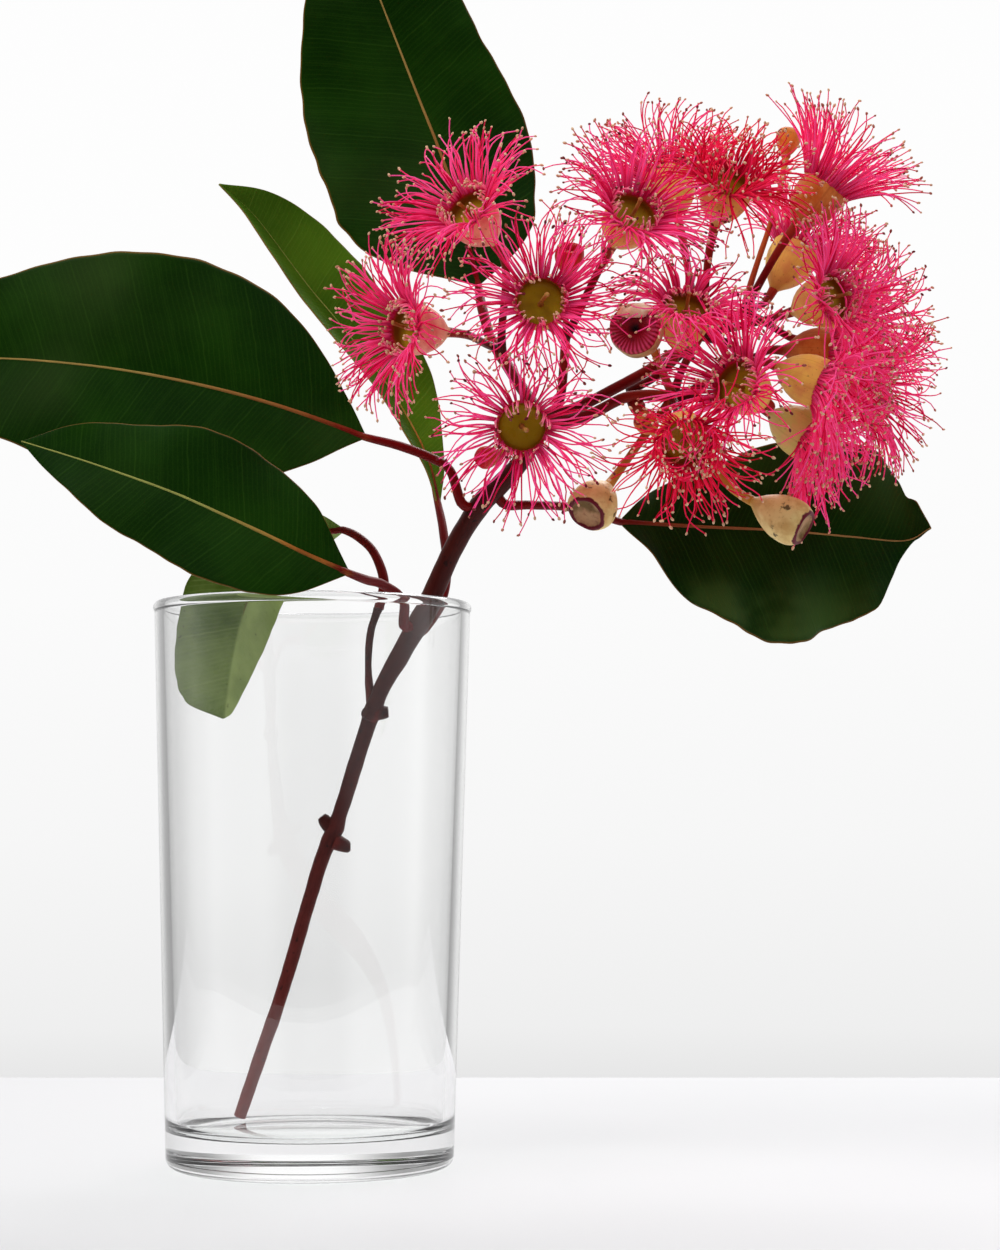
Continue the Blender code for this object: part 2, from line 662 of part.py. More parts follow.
def crown_roots():
    """The ring that seats on a cup's mouth: its corners and, for both slopes, its triangles in pairs."""
    inner, outer, crest = [], [], []
    middle = (MOUTH_INNER + MOUTH_RADIUS) / 2
    seat = CUP_LENGTH + GAP
    for i in range(ROOTS):
        turn = math.tau * i / ROOTS
        half = math.tau * (i + 0.5) / ROOTS
        inner.append(Vector((MOUTH_INNER * math.cos(turn), MOUTH_INNER * math.sin(turn), seat)))
        outer.append(Vector((MOUTH_RADIUS * math.cos(turn), MOUTH_RADIUS * math.sin(turn), seat)))
        crest.append(Vector((middle * math.cos(half), middle * math.sin(half), seat + RING_HEIGHT)))
    return inner, outer, crest


def crown(bloom, clearance, group, finish):
    """The stamens of one flower, raised by formula from the triangles of one ring."""
    draw = random.Random(bloom.name)
    corners = crown_roots()
    shape = bmesh.new()
    inner, outer, crest = [[shape.verts.new(corner) for corner in loop] for loop in corners]
    turn = facing(bloom.faces)
    base = cup_base(bloom)
    raised = []
    for i in range(ROOTS):
        after, before = (i + 1) % ROOTS, i - 1
        shape.faces.new((inner[i], inner[after], outer[after], outer[i]))
        shape.faces.new((outer[i], crest[i], crest[before]))
        shape.faces.new((inner[i], crest[before], crest[i]))
        raised.append(((outer[i], outer[after], crest[i]), i + 0.5, bloom.spread[:2], 1.0))
        raised.append(((inner[after], inner[i], crest[i]), i + 0.5, bloom.spread[2:], 0.93))
    for triangle, place, (first, last), share in raised:
        middle = sum((corner.co for corner in triangle), Vector()) / 3
        line = None
        for attempt in range(TRIES):
            loose = 1 + attempt * 0.12
            azimuth = math.tau * place / ROOTS + draw.uniform(-0.16, 0.16) * loose
            end_angle = last + draw.uniform(-16, 14) * loose
            length = bloom.length * share * draw.uniform(0.88, 1.06) * (1 - 0.03 * attempt)
            points = stamen_line(bloom, azimuth, first, end_angle, length, middle)
            world = [base + turn @ point for point in [middle, *points]]
            if clearance.free(world, FILAMENT_RADIUS, bloom.name):
                line = points
                clearance.add(world, ANTHER_RADIUS, bloom.name)
                break
        if line is None:
            shape.faces.new(triangle)
        else:
            raise_stamen(shape, triangle, middle, line)
    for vert in shape.verts:
        vert.co *= MM
    bmesh.ops.recalc_face_normals(shape, faces=shape.faces)
    mesh = bpy.data.meshes.new(bloom.name)
    shape.to_mesh(mesh)
    shape.free()
    thing = placed(bloom.name.replace("bloom", "stamens"), mesh, group, finish, smooth=False)
    thing.rotation_mode = "QUATERNION"
    thing.rotation_quaternion = turn
    thing.location = base * MM


def raise_stamen(shape, triangle, middle, line):
    """Grows a three-sided stamen out of one triangle, wider at its anther and pointed at its tip."""
    bend, anther, tip = line
    ring = list(triangle)
    before = middle
    for place, after, radius in ((bend, anther, FILAMENT_RADIUS), (anther, tip, ANTHER_RADIUS)):
        along = (after - before).normalized()
        across = [corner.co - before - along * along.dot(corner.co - before) for corner in ring]
        lead = max(range(3), key=lambda k: across[k].length)
        arm = across[lead].normalized() * radius
        turns = [Quaternion(along, math.tau * (k - lead) / 3) for k in range(3)]
        grown = [shape.verts.new(place + turn @ arm) for turn in turns]
        for k in range(3):
            nxt = (k + 1) % 3
            shape.faces.new((ring[k], ring[nxt], grown[nxt]))
            shape.faces.new((ring[k], grown[nxt], grown[k]))
        ring = grown
        before = place
    end = shape.verts.new(tip)
    for k in range(3):
        shape.faces.new((ring[k], ring[(k + 1) % 3], end))


def surface_of(thing):
    """A millimetre search tree over an object's faces."""
    mesh = thing.data
    places = [thing.matrix_world @ vert.co / MM for vert in mesh.vertices]
    return BVHTree.FromPolygons(places, [tuple(face.vertices) for face in mesh.polygons])


def obstacles(leaves):
    """What stands in the stamens' way: the leaves, the branch, every cup and every bud."""
    found = Clearance([surface_of(thing) for thing in leaves])
    middle = (MOUTH_INNER + MOUTH_RADIUS) / 2
    for line in [STEM, *stalk_lines()]:
        found.add([Vector(point[:3]) for point in smooth_line(line, 6)], max(point[3] for point in line))
    for bloom in BLOOMS:
        base, mouth = cup_base(bloom), Vector(bloom.mouth)
        turn = facing(bloom.faces)
        turns = np.linspace(0, math.tau, 9)
        rim = [Vector((middle * math.cos(a), middle * math.sin(a), RING_HEIGHT)) for a in turns]
        found.add([mouth + turn @ point for point in rim], ROOT_RADIUS, bloom.name)
        waist = CUP_RADIUS - BELT_RADIUS
        belt = [Vector((waist * math.cos(a), waist * math.sin(a), -2.5)) for a in turns]
        found.add([mouth + turn @ point for point in belt], BELT_RADIUS, bloom.name)
        found.add([base.lerp(mouth, 0.4), base.lerp(mouth, 0.55)], CUP_RADIUS)
        found.add([mouth, mouth + (mouth - base) * 0.35], STYLE_RADIUS)
    for bud in BUDS:
        base, middle = bud_base(bud), Vector(bud.middle)
        found.add([middle, middle.lerp(base, -0.5)], bud.radius)
    return found


def build():
    """Models the tumbler, the branch, its leaves, cups, crowns and buds."""
    clear_scene()
    group = bpy.data.collections.new("flowering_gum_branch")
    bpy.context.scene.collection.children.link(group)
    clear = material("clear glass", (1, 1, 1), 0.0, 1.0)
    bark = material("red brown bark", (0.08, 0.018, 0.016), 0.5)
    green = material("leaf green", (0.012, 0.05, 0.012), 0.35)
    pale = material("young leaf green", (0.06, 0.14, 0.02), 0.4)
    ochre = material("cup ochre", (0.5, 0.28, 0.07), 0.5)
    cream = material("bud cream", (0.68, 0.52, 0.22), 0.5)
    red = material("bud red", (0.35, 0.02, 0.03), 0.5)
    pink = material("stamen pink", (0.82, 0.05, 0.22), 0.5)
    glass(group, clear)
    branch(group, bark)
    leaves = [leaf_solid(leaf, group, pale if leaf.fold[0] > 20 else green) for leaf in LEAVES]
    for bloom in BLOOMS:
        cup(bloom, group, ochre)
    for bud in BUDS:
        bud_solid(bud, group, red if bud.opened else cream)
    clearance = obstacles(leaves)
    for bloom in BLOOMS:
        crown(bloom, clearance, group, pink)


build()
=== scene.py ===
"""A pink flowering gum branch in a clear tumbler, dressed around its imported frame.

Tables are in millimetres, meshes in metres. +X is right, +Y goes away from the viewer and +Z is up. The origin
is the centre of the tumbler's flat base.
"""

import logging
import math
import random
from dataclasses import dataclass, field, replace
from enum import Enum
from typing import Any, Callable, Iterable, NamedTuple, Sequence

import bmesh
import bpy
import numpy as np
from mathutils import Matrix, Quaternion, Vector


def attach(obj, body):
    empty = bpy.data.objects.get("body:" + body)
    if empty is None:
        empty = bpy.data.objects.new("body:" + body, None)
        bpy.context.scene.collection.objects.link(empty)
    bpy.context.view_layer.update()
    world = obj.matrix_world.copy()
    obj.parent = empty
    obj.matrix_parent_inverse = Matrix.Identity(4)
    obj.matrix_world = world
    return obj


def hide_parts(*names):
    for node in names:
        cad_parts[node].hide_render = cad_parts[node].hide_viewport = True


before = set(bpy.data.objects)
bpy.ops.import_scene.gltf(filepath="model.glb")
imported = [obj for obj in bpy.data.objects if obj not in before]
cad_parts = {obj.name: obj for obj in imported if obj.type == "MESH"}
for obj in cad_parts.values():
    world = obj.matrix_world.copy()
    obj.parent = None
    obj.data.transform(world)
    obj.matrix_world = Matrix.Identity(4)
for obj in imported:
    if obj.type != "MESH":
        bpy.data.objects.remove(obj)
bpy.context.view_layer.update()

LOG = logging.getLogger("flowering_gum")
MM = 0.001
BODY = "root"
Rgb = tuple[float, float, float]
Line = list[tuple[float, ...]]


def srgb(red: int, green: int, blue: int) -> Rgb:
    """Turns display values of 0 to 255 into linear colour."""
    return tuple((v / 255 / 12.92) if v <= 10 else ((v / 255 + 0.055) / 1.055) ** 2.4 for v in (red, green, blue))


# Node writing


def forms(operation: str) -> tuple[Callable[..., "Wire"], Callable[..., "Wire"]]:
    """Makes a Python operator that adds one Math node, and the operator's reflected form.

    Args:
        operation: The Math node's operation.

    Returns:
        The operator and its reflected form.
    """

    def straight(self: "Wire", other: Any) -> "Wire":
        """The operation on self and other."""
        return self.math(operation, self, other)

    def reflected(self: "Wire", other: Any) -> "Wire":
        """The operation on other and self."""
        return self.math(operation, other, self)

    return straight, reflected


class Wire:
    """A node's output socket that takes part in Python arithmetic."""

    __add__, __radd__ = forms("ADD")
    __sub__, __rsub__ = forms("SUBTRACT")
    __mul__, __rmul__ = forms("MULTIPLY")
    __truediv__, __rtruediv__ = forms("DIVIDE")
    __pow__, __rpow__ = forms("POWER")

    def __init__(self, sheet: "Sheet", socket: bpy.types.NodeSocket) -> None:
        """Keeps the socket and the sheet that it is on."""
        self.sheet = sheet
        self.socket = socket

    def math(self, operation: str, *values: Any) -> "Wire":
        """Adds one Math node.

        Args:
            operation: The Math node's operation.
            values: The numbers or wires of its sockets.

        Returns:
            The result.
        """
        return self.sheet.node("ShaderNodeMath", {"operation": operation}, dict(enumerate(values)))

    def __neg__(self) -> "Wire":
        """Self with the other sign."""
        return 0 - self

    def __abs__(self) -> "Wire":
        """The size of self."""
        return self.math("ABSOLUTE", self)

    def sin(self) -> "Wire":
        """The sine of self."""
        return self.math("SINE", self)

    def cos(self) -> "Wire":
        """The cosine of self."""
        return self.math("COSINE", self)

    def floor(self) -> "Wire":
        """The whole part of self."""
        return self.math("FLOOR", self)

    def fract(self) -> "Wire":
        """What is left of self above its whole part."""
        return self.math("FRACT", self)

    def most(self, other: Any) -> "Wire":
        """The greater of self and other."""
        return self.math("MAXIMUM", self, other)

    def least(self, other: Any) -> "Wire":
        """The smaller of self and other."""
        return self.math("MINIMUM", self, other)

    def above(self, other: Any) -> "Wire":
        """1 where self is greater than other, 0 elsewhere."""
        return self.math("GREATER_THAN", self, other)

    def below(self, other: Any) -> "Wire":
        """1 where self is less than other, 0 elsewhere."""
        return self.math("LESS_THAN", self, other)

    def rise(self, low: float, high: float) -> "Wire":
        """A smooth step of self, 0 at low and 1 at high."""
        values = {"Value": self, "From Min": low, "From Max": high}
        return self.sheet.node("ShaderNodeMapRange", {"interpolation_type": "SMOOTHSTEP"}, values)

    def ridge(self, width: float) -> "Wire":
        """A line wherever self passes a whole number, 1 at its middle and 0 at a share of the period away."""
        away = abs((self + 0.5).fract() - 0.5)
        return 1 - away.rise(0, width)


class Sheet:
    """A node tree and the one method that adds nodes to it."""

    def __init__(self, tree: bpy.types.NodeTree) -> None:
        """Keeps the tree."""
        self.tree = tree

    def node(self, kind: str, settings: dict | None = None, values: dict | None = None, out: Any = 0) -> Wire | None:
        """Adds a node.

        Args:
            kind: The node's type.
            settings: Its properties, and the stops of a ramp under "stops".
            values: Numbers, colours, wires or lists of wires by socket name or number.
            out: The name or number of the output that is wanted, if any.

        Returns:
            The wire from that output.
        """
        made = self.tree.nodes.new(kind)
        for name, value in (settings or {}).items():
            if name == "stops":
                self.fill_ramp(made.color_ramp, value)
            else:
                setattr(made, name, value)
        for name, value in (values or {}).items():
            self.feed(made.inputs[name], value)
        return None if out is None else Wire(self, made.outputs[out])

    def feed(self, socket: bpy.types.NodeSocket, value: Any) -> None:
        """Gives an input socket what it reads.

        Args:
            socket: The socket.
            value: Its number or colour, its wire or a list of its wires.
        """
        for one in value if isinstance(value, list) else [value]:
            if isinstance(one, Wire):
                self.tree.links.new(one.socket, socket)
            else:
                socket.default_value = one

    @staticmethod
    def fill_ramp(ramp: bpy.types.ColorRamp, stops: Sequence[tuple[float, Rgb]]) -> None:
        """Writes the stops of a colour ramp.

        Args:
            ramp: The ramp.
            stops: The place and the colour of each stop.
        """
        while len(ramp.elements) < len(stops):
            ramp.elements.new(1.0)
        for element, (place, colour) in zip(ramp.elements, stops):
            element.position = place
            element.color = (*colour, 1)

    def ramp(self, value: Wire, *stops: tuple[float, Rgb]) -> Wire:
        """A colour that runs through stops as a value goes from 0 to 1."""
        return self.node("ShaderNodeValToRGB", {"stops": stops}, {"Fac": value})

    def mix(self, share: Any, first: Any, second: Any) -> Wire:
        """A colour between two."""
        first, second = [(*c, 1) if isinstance(c, tuple) else c for c in (first, second)]
        return self.node("ShaderNodeMix", {"data_type": "RGBA"}, {0: share, 6: first, 7: second}, 2)

    def attribute(self, name: str) -> Wire:
        """A number kept on the mesh's points."""
        return self.node("ShaderNodeAttribute", {"attribute_name": name}, out="Fac")

    def skin_map(self) -> tuple[Wire, Wire]:
        """How far round a turned skin a spot lies, and how far along its section, both from 0 to 1."""
        around, station, _ = self.split(self.node("ShaderNodeUVMap", {"uv_map": "skin"}))
        return around, station

    def split(self, vector: Wire) -> tuple[Wire, ...]:
        """The three numbers of a vector."""
        return tuple(self.node("ShaderNodeSeparateXYZ", values={0: vector}, out=axis) for axis in range(3))

    def rays(self, *names: str) -> tuple[Wire, ...]:
        """What the light path tells of a ray, by the names of its outputs."""
        return tuple(self.node("ShaderNodeLightPath", out=name) for name in names)

    def place(self) -> Wire:
        """The object coordinates in metres."""
        return self.node("ShaderNodeTexCoord", out="Object")

    def noise(self, scale: float, detail: float, place: Wire | None = None) -> Wire:
        """Cloudy noise, around 0.5, that repeats some scale times a metre."""
        values = {"Vector": place or self.place(), "Scale": scale, "Detail": detail, "Roughness": 0.55}
        return self.node("ShaderNodeTexNoise", values=values)

    def vector(self, operation: str, first: Any, second: Any = (0, 0, 0)) -> Wire:
        """One Vector Math node on one vector or two."""
        return self.node("ShaderNodeVectorMath", {"operation": operation}, {0: first, 1: second})

    def scaled(self, vector: Any, factor: Any) -> Wire:
        """A vector times a number."""
        return self.node("ShaderNodeVectorMath", {"operation": "SCALE"}, {0: vector, "Scale": factor})

    def combine(self, x: Any, y: Any, z: Any) -> Wire:
        """A vector of three numbers."""
        return self.node("ShaderNodeCombineXYZ", values={0: x, 1: y, 2: z})

    def bump(self, height: Wire, distance: float, strength: float) -> Wire:
        """A normal bent by a height that reaches a distance in metres."""
        values = {"Height": height, "Distance": distance, "Strength": strength}
        return self.node("ShaderNodeBump", values=values, out="Normal")


# Finishes


class Finish:
    """A look that a piece can have."""

    name: str

    def fill(self, sheet: Sheet) -> dict[str, Any]:
        """Draws the look on a material's sheet, and gives the values of the shader's sockets by name."""
        raise NotImplementedError

    def build(self) -> bpy.types.Material:
        """Makes the Principled material with this look.

        Returns:
            The material.
        """
        made = bpy.data.materials.new(self.name)
        made.use_nodes = True
        sheet = Sheet(made.node_tree)
        shader = made.node_tree.nodes["Principled BSDF"]
        for socket, value in self.fill(sheet).items():
            sheet.feed(shader.inputs[socket], value)
        return made


@dataclass(frozen=True)
class LeafFinish(Finish):
    """Leathery leaf skin with a dense comb of side veins, soft pale patches of painted sheen, its pale underside and
    its thin margin, and emission by its glow that is painted light.

    It reads the leaf's along, across, edge and under values.
    """

    name: str
    upper: Rgb
    light: Rgb
    vein: Rgb
    under: Rgb
    under_light: Rgb
    margin: Rgb
    # The pale grey-green of the painted sheen.
    painted_sheen: Rgb = srgb(66, 86, 42)
    spot: Rgb = srgb(50, 55, 20)
    # sheen: how strongly a patch of painted sheen shows on the blade's half with positive across values.
    sheen: float = 0.0
    pale_half: float = 0.0
    # glow: strength of the emission in the skin's own colour, which is painted light.
    glow: float = 0.0
    roughness: float = 0.4
    spacing: float = 1.1

    def fill(self, sheet: Sheet) -> dict[str, Any]:
        """Draws the skin.

        Args:
            sheet: The material's sheet.

        Returns:
            The shader's sockets.
        """
        along, across = sheet.attribute("along"), sheet.attribute("across")
        edge, under = sheet.attribute("edge"), sheet.attribute("under")
        cloud = sheet.noise(45, 4)
        fine = sheet.noise(700, 2)
        swept = along - abs(across) * 0.42 + (cloud - 0.5) * 3.4
        comb = (swept / self.spacing).ridge(0.2)
        main = (swept / (self.spacing * 5.5)).ridge(0.06)
        net = sheet.node(
            "ShaderNodeTexVoronoi", {"feature": "DISTANCE_TO_EDGE"}, {"Vector": sheet.place(), "Scale": 1500}
        )
        mesh_line = 1 - net.rise(0.0, 0.12)
        veins = (comb * (0.2 + cloud * 0.6) + main * 0.5) * (1 - edge.rise(0.9, 1.0))
        top = sheet.mix(cloud.rise(0.35, 0.7), self.upper, self.light)
        top = sheet.mix((veins * 0.24).least(1), top, self.vein)
        top = sheet.mix(mesh_line * 0.06, top, self.vein)
        # Painted sheen: soft patches of the pale grey-green over the upper skin.
        top = sheet.mix(sheet.noise(16, 2).rise(0.48, 0.75) * 0.4, top, self.painted_sheen)
        # More painted sheen, as strong as the sheen says, from 6 mm out on the half with positive across values, fading
        # at the margin.
        sheen_patch = across.rise(6, 22) * (1 - edge.rise(0.93, 1.0) * 0.5) * sheet.noise(48, 3).rise(0.36, 0.66)
        top = sheet.mix(sheen_patch * self.sheen, top, self.painted_sheen)
        pale = (sheet.noise(90, 5).rise(0.3, 0.75) * 0.45 + across.rise(-0.4, 0.4) * self.pale_half).least(1)
        below = sheet.mix(pale, self.under, self.under_light)
        below = sheet.mix((veins * 0.25).least(1), below, self.under_light)
        spots = sheet.noise(900, 1).rise(0.71, 0.76)
        below = sheet.mix(spots * 0.7, below, self.spot)
        skin = sheet.mix(under, top, below)
        skin = sheet.mix(edge.rise(0.98, 0.995), skin, self.margin)
        height = fine * 0.25 + comb * (0.3 + under * 0.1) + main * 0.5 + mesh_line * 0.2
        return {
            "Base Color": skin,
            "Roughness": self.roughness + under * 0.2 + (cloud - 0.5) * 0.12,
            "Normal": sheet.bump(height, 0.00006, 0.7),
            "Specular IOR Level": 0.1,
            # Emission in the skin's own colour is painted light, which lifts a leaf with a glow out of the shade of the
            # leaves over it.
            "Emission Color": skin,
            "Emission Strength": self.glow,
        }


@dataclass(frozen=True)
class BarkFinish(Finish):
    """Smooth young bark: fine length lines, small pores and a colour that changes towards its end.

    It reads the sleeve's share, run and turn values.
    """

    name: str
    start: Rgb
    middle: Rgb
    end: Rgb
    pores: float = 0.0
    turns: tuple[float, float, float] = (0.0, 0.5, 1.0)
    pore: Rgb = srgb(28, 14, 14)

    def fill(self, sheet: Sheet) -> dict[str, Any]:
        """Draws the bark.

        Args:
            sheet: The material's sheet.

        Returns:
            The shader's sockets.
        """
        share, run = sheet.attribute("share"), sheet.attribute("run")
        cloud = sheet.noise(160, 4)
        fine = sheet.noise(1500, 3)
        lines_at = sheet.combine(sheet.attribute("turn_x") * 1.5, sheet.attribute("turn_y") * 1.5, run * 60)
        lines = sheet.noise(5, 3, lines_at)
        mottled = share + (cloud - 0.5) * 0.2 + (lines - 0.5) * 0.15
        skin = sheet.ramp(mottled, *zip(self.turns, (self.start, self.middle, self.end)))
        skin = sheet.mix(lines.rise(0.42, 0.7) * 0.5, skin, sheet.scaled(skin, 0.5))
        skin = sheet.mix(cloud.rise(0.55, 0.7) * 0.3, skin, sheet.scaled(skin, 1.5))
        pores = sheet.noise(620, 1).rise(0.68, 0.74) * self.pores
        skin = sheet.mix(pores, skin, self.pore)
        height = lines * 0.6 + fine * 0.3 - pores * 0.5
        return {
            "Base Color": skin,
            "Roughness": 0.35 + cloud * 0.2,
            "Normal": sheet.bump(height, 0.00012, 0.7),
            "Specular IOR Level": 0.14,
        }


@dataclass(frozen=True)
class CupFinish(Finish):
    """The skin of a flower's cup, blushed and speckled outside, nectar olive inside with painted shade darkening its
    inner wall, and a glow of painted light, on the lathe's skin map.
    """

    name: str
    skin: Rgb
    blush: Rgb
    foot: Rgb
    bowl: Rgb = srgb(170, 140, 22)
    # The darker brown of the painted shade on the bowl's inner wall, also used for random patches on the disc.
    deep: Rgb = srgb(116, 64, 8)
    lip: Rgb = srgb(170, 34, 40)
    speck: Rgb = srgb(96, 40, 22)
    # How strongly the skin glows with painted light.
    glow: float = 0.08

    def fill(self, sheet: Sheet) -> dict[str, Any]:
        """Draws the cup.

        Args:
            sheet: The material's sheet.

        Returns:
            The shader's sockets.
        """
        around, station = sheet.skin_map()
        cloud = sheet.noise(240, 4)
        fine = sheet.noise(1300, 3)
        angle = around * math.tau
        stripe = sheet.noise(6, 2, sheet.combine(angle.sin() * 2, angle.cos() * 2, 0.3))
        outer = sheet.mix(cloud.rise(0.35, 0.7), self.skin, self.blush)
        outer = sheet.mix(stripe.rise(0.5, 0.8) * 0.4, outer, self.foot)
        outer = sheet.mix(1 - station.rise(0.05, 0.32), outer, self.foot)
        outer = sheet.mix(fine.rise(0.64, 0.7) * 0.35, outer, self.speck)
        # Painted shade: the bowl's inner wall darker brown, going over to the olive disc at its bottom.
        inner = sheet.mix(station.rise(0.74, 0.86), self.deep, self.bowl)
        inner = sheet.mix(cloud.rise(0.45, 0.8) * 0.5, inner, self.deep)
        lip = station.rise(0.55, 0.6) * (1 - station.rise(0.66, 0.72))
        skin = sheet.mix(station.rise(0.6, 0.64), outer, inner)
        skin = sheet.mix(lip, skin, self.lip)
        wet = station.rise(0.66, 0.74)
        return {
            "Base Color": skin,
            "Roughness": 0.5 - wet * 0.22 + (cloud - 0.5) * 0.1,
            "Normal": sheet.bump(fine * 0.5 + cloud * 0.5, 0.00012, 0.6),
            # Emission in the skin's own colour is painted light, which lifts the bowl out of the shade of the stamens.
            "Emission Color": skin,
            "Emission Strength": self.glow,
            "Specular IOR Level": 0.18,
        }


@dataclass(frozen=True)
class BudFinish(Finish):
    """A bud's skin from its stalk to the ring where its cap sits, on the lathe's skin map and radius values."""

    name: str
    body: Rgb
    shade: Rgb
    foot: Rgb
    ring: Rgb
    cap: Rgb

    def top(self, sheet: Sheet, skin: Wire) -> Wire:
        """The skin with the bud's top drawn over it, from the skin so far."""
        raise NotImplementedError

    def fill(self, sheet: Sheet) -> dict[str, Any]:
        """Draws the bud.

        Args:
            sheet: The material's sheet.

        Returns:
            The shader's sockets.
        """
        _, station = sheet.skin_map()
        cloud = sheet.noise(260, 4)
        fine = sheet.noise(1500, 3)
        skin = sheet.mix(cloud.rise(0.4, 0.72), self.body, self.shade)
        skin = sheet.mix(1 - station.rise(0.0, 0.3), skin, self.foot)
        skin = sheet.mix(fine.rise(0.62, 0.68) * 0.5, skin, self.shade)
        return {
            "Base Color": self.top(sheet, skin),
            "Roughness": 0.48 + (cloud - 0.5) * 0.2,
            "Normal": sheet.bump(fine * 0.6 + cloud * 0.6, 0.0001, 0.6),
            "Specular IOR Level": 0.25,
        }


@dataclass(frozen=True)
class WornBudFinish(BudFinish):
    """A bud with a blotched, worn disc, a ragged ring round it and dark scabs under it."""

    cap_spot: Rgb
    scab: Rgb = srgb(40, 26, 10)

    def top(self, sheet: Sheet, skin: Wire) -> Wire:
        """Draws the disc, its ring and the scabs.

        Args:
            sheet: The material's sheet.
            skin: The skin so far.

        Returns:
            The skin.
        """
        _, station = sheet.skin_map()
        scabs = sheet.noise(520, 5)
        worn = sheet.attribute("radius") + (scabs - 0.5) * 0.2
        disc = station.rise(0.6, 0.62)
        cap = sheet.mix(sheet.noise(200, 3).rise(0.4, 0.65), self.cap, self.cap_spot)
        cap = sheet.mix(sheet.noise(1200, 3).rise(0.5, 0.7) * 0.4, cap, self.ring)
        scab = scabs.rise(0.56, 0.64) * (1 - disc) * station.rise(0.46, 0.52)
        skin = sheet.mix(scab * 0.85, skin, self.scab)
        skin = sheet.mix(disc * (1 - worn.rise(0.8, 0.84)), skin, self.ring)
        return sheet.mix(disc * (1 - worn.rise(0.6, 0.65)), skin, cap)


@dataclass(frozen=True)
class OpenedBudFinish(BudFinish):
    """A bud without its cap, with the folded stamens on its disc and near-black painted shade in the hollow at its
    middle.
    """

    ring_at: float = 0.62
    folds: int = 34
    # The near black of the painted shade in the hollow at the disc's middle.
    painted_hollow_shade: Rgb = srgb(14, 2, 4)

    def top(self, sheet: Sheet, skin: Wire) -> Wire:
        """Draws the ring, the folded stamens and the painted shade in the hollow at the disc's middle.

        Args:
            sheet: The material's sheet.
            skin: The skin so far.

        Returns:
            The skin.
        """
        around, station = sheet.skin_map()
        radius = sheet.attribute("radius")
        ragged = station + (sheet.noise(900, 2) - 0.5) * 0.03
        skin = sheet.mix(ragged.rise(self.ring_at - 0.01, self.ring_at), skin, self.ring)
        folds = (around * self.folds + (sheet.noise(260, 4) - 0.5) * 0.6).ridge(0.5)
        disc = sheet.mix(folds * radius.rise(0.35, 0.95), self.ring, self.cap)
        # Painted shade: the disc goes near black towards its middle, as in the dark of a hollow.
        disc = sheet.mix(1 - radius.rise(0.05, 0.3), disc, self.painted_hollow_shade)
        return sheet.mix(ragged.rise(self.ring_at, self.ring_at + 0.02), skin, disc)


@dataclass(frozen=True)
class StamenFinish(Finish):
    """Filament threads, deep at the root and brighter outwards, each with its own curl and a shade value that gives
    some threads a painted highlight and others painted shade, all with a glow of painted light.
    """

    name: str
    root: Rgb
    thread: Rgb
    # The colour of the painted highlight on the brighter threads.
    painted_highlight: Rgb
    tip: Rgb
    # Strength of the emission in the thread's own colour, which is painted light.
    glow: float = 0.16

    def fill(self, sheet: Sheet) -> dict[str, Any]:
        """Draws the thread.

        Args:
            sheet: The material's sheet.

        Returns:
            The shader's sockets.
        """
        along, shade, curled = (sheet.attribute(name) for name in ("along", "shade", "curled"))
        # Each thread's shade value takes it from the thread colour towards a painted highlight, and the lowest values
        # pull it up to halfway to the root colour as painted shade.
        body = sheet.mix(shade, self.thread, self.painted_highlight)
        body = sheet.mix((1 - shade).rise(0.7, 1.0) * 0.5, body, self.root)
        skin = sheet.mix(along.rise(-0.2, 0.45), self.root, body)
        skin = sheet.mix((curled * along.rise(0.2, 1.0) * 0.8).least(1), skin, self.tip)
        skin = sheet.mix(sheet.noise(500, 2).rise(0.5, 0.8) * 0.25, skin, self.root)
        return {
            "Base Color": skin,
            "Roughness": 0.45 + shade * 0.15,
            "Specular IOR Level": 0.05,
            # Emission in the thread's own colour is painted light, standing for light that shines through the thin
            # threads.
            "Emission Color": skin,
            "Emission Strength": self.glow,
        }


@dataclass(frozen=True)
class AntherFinish(Finish):
    """Pollen cream to ripe maroon, by a value that each anther keeps."""

    name: str = "anther_pollen"
    cream: Rgb = srgb(238, 194, 156)
    tan: Rgb = srgb(198, 120, 98)
    ripe: Rgb = srgb(112, 20, 36)

    def fill(self, sheet: Sheet) -> dict[str, Any]:
        """Draws the anther.

        Args:
            sheet: The material's sheet.

        Returns:
            The shader's sockets.
        """
        ripe = sheet.attribute("ripe")
        grain = sheet.noise(4000, 3)
        value = ripe + (grain - 0.5) * 0.5
        skin = sheet.ramp(value, (0.15, self.cream), (0.5, self.tan), (0.8, self.ripe))
        return {"Base Color": skin, "Roughness": 0.7 + grain * 0.2, "Normal": sheet.bump(grain, 0.00008, 0.6)}


@dataclass(frozen=True)
class PlainFinish(Finish):
    """One colour that drifts to another over cloudy patches, for small parts."""

    name: str
    first: Rgb
    second: Rgb
    roughness: float = 0.5

    def fill(self, sheet: Sheet) -> dict[str, Any]:
        """Draws the patches.

        Args:
            sheet: The material's sheet.

        Returns:
            The shader's sockets.
        """
        cloud = sheet.noise(500, 4)
        return {
            "Base Color": sheet.mix(cloud.rise(0.35, 0.65), self.first, self.second),
            "Roughness": self.roughness + (cloud - 0.5) * 0.2,
            "Normal": sheet.bump(cloud, 0.0001, 0.5),
        }


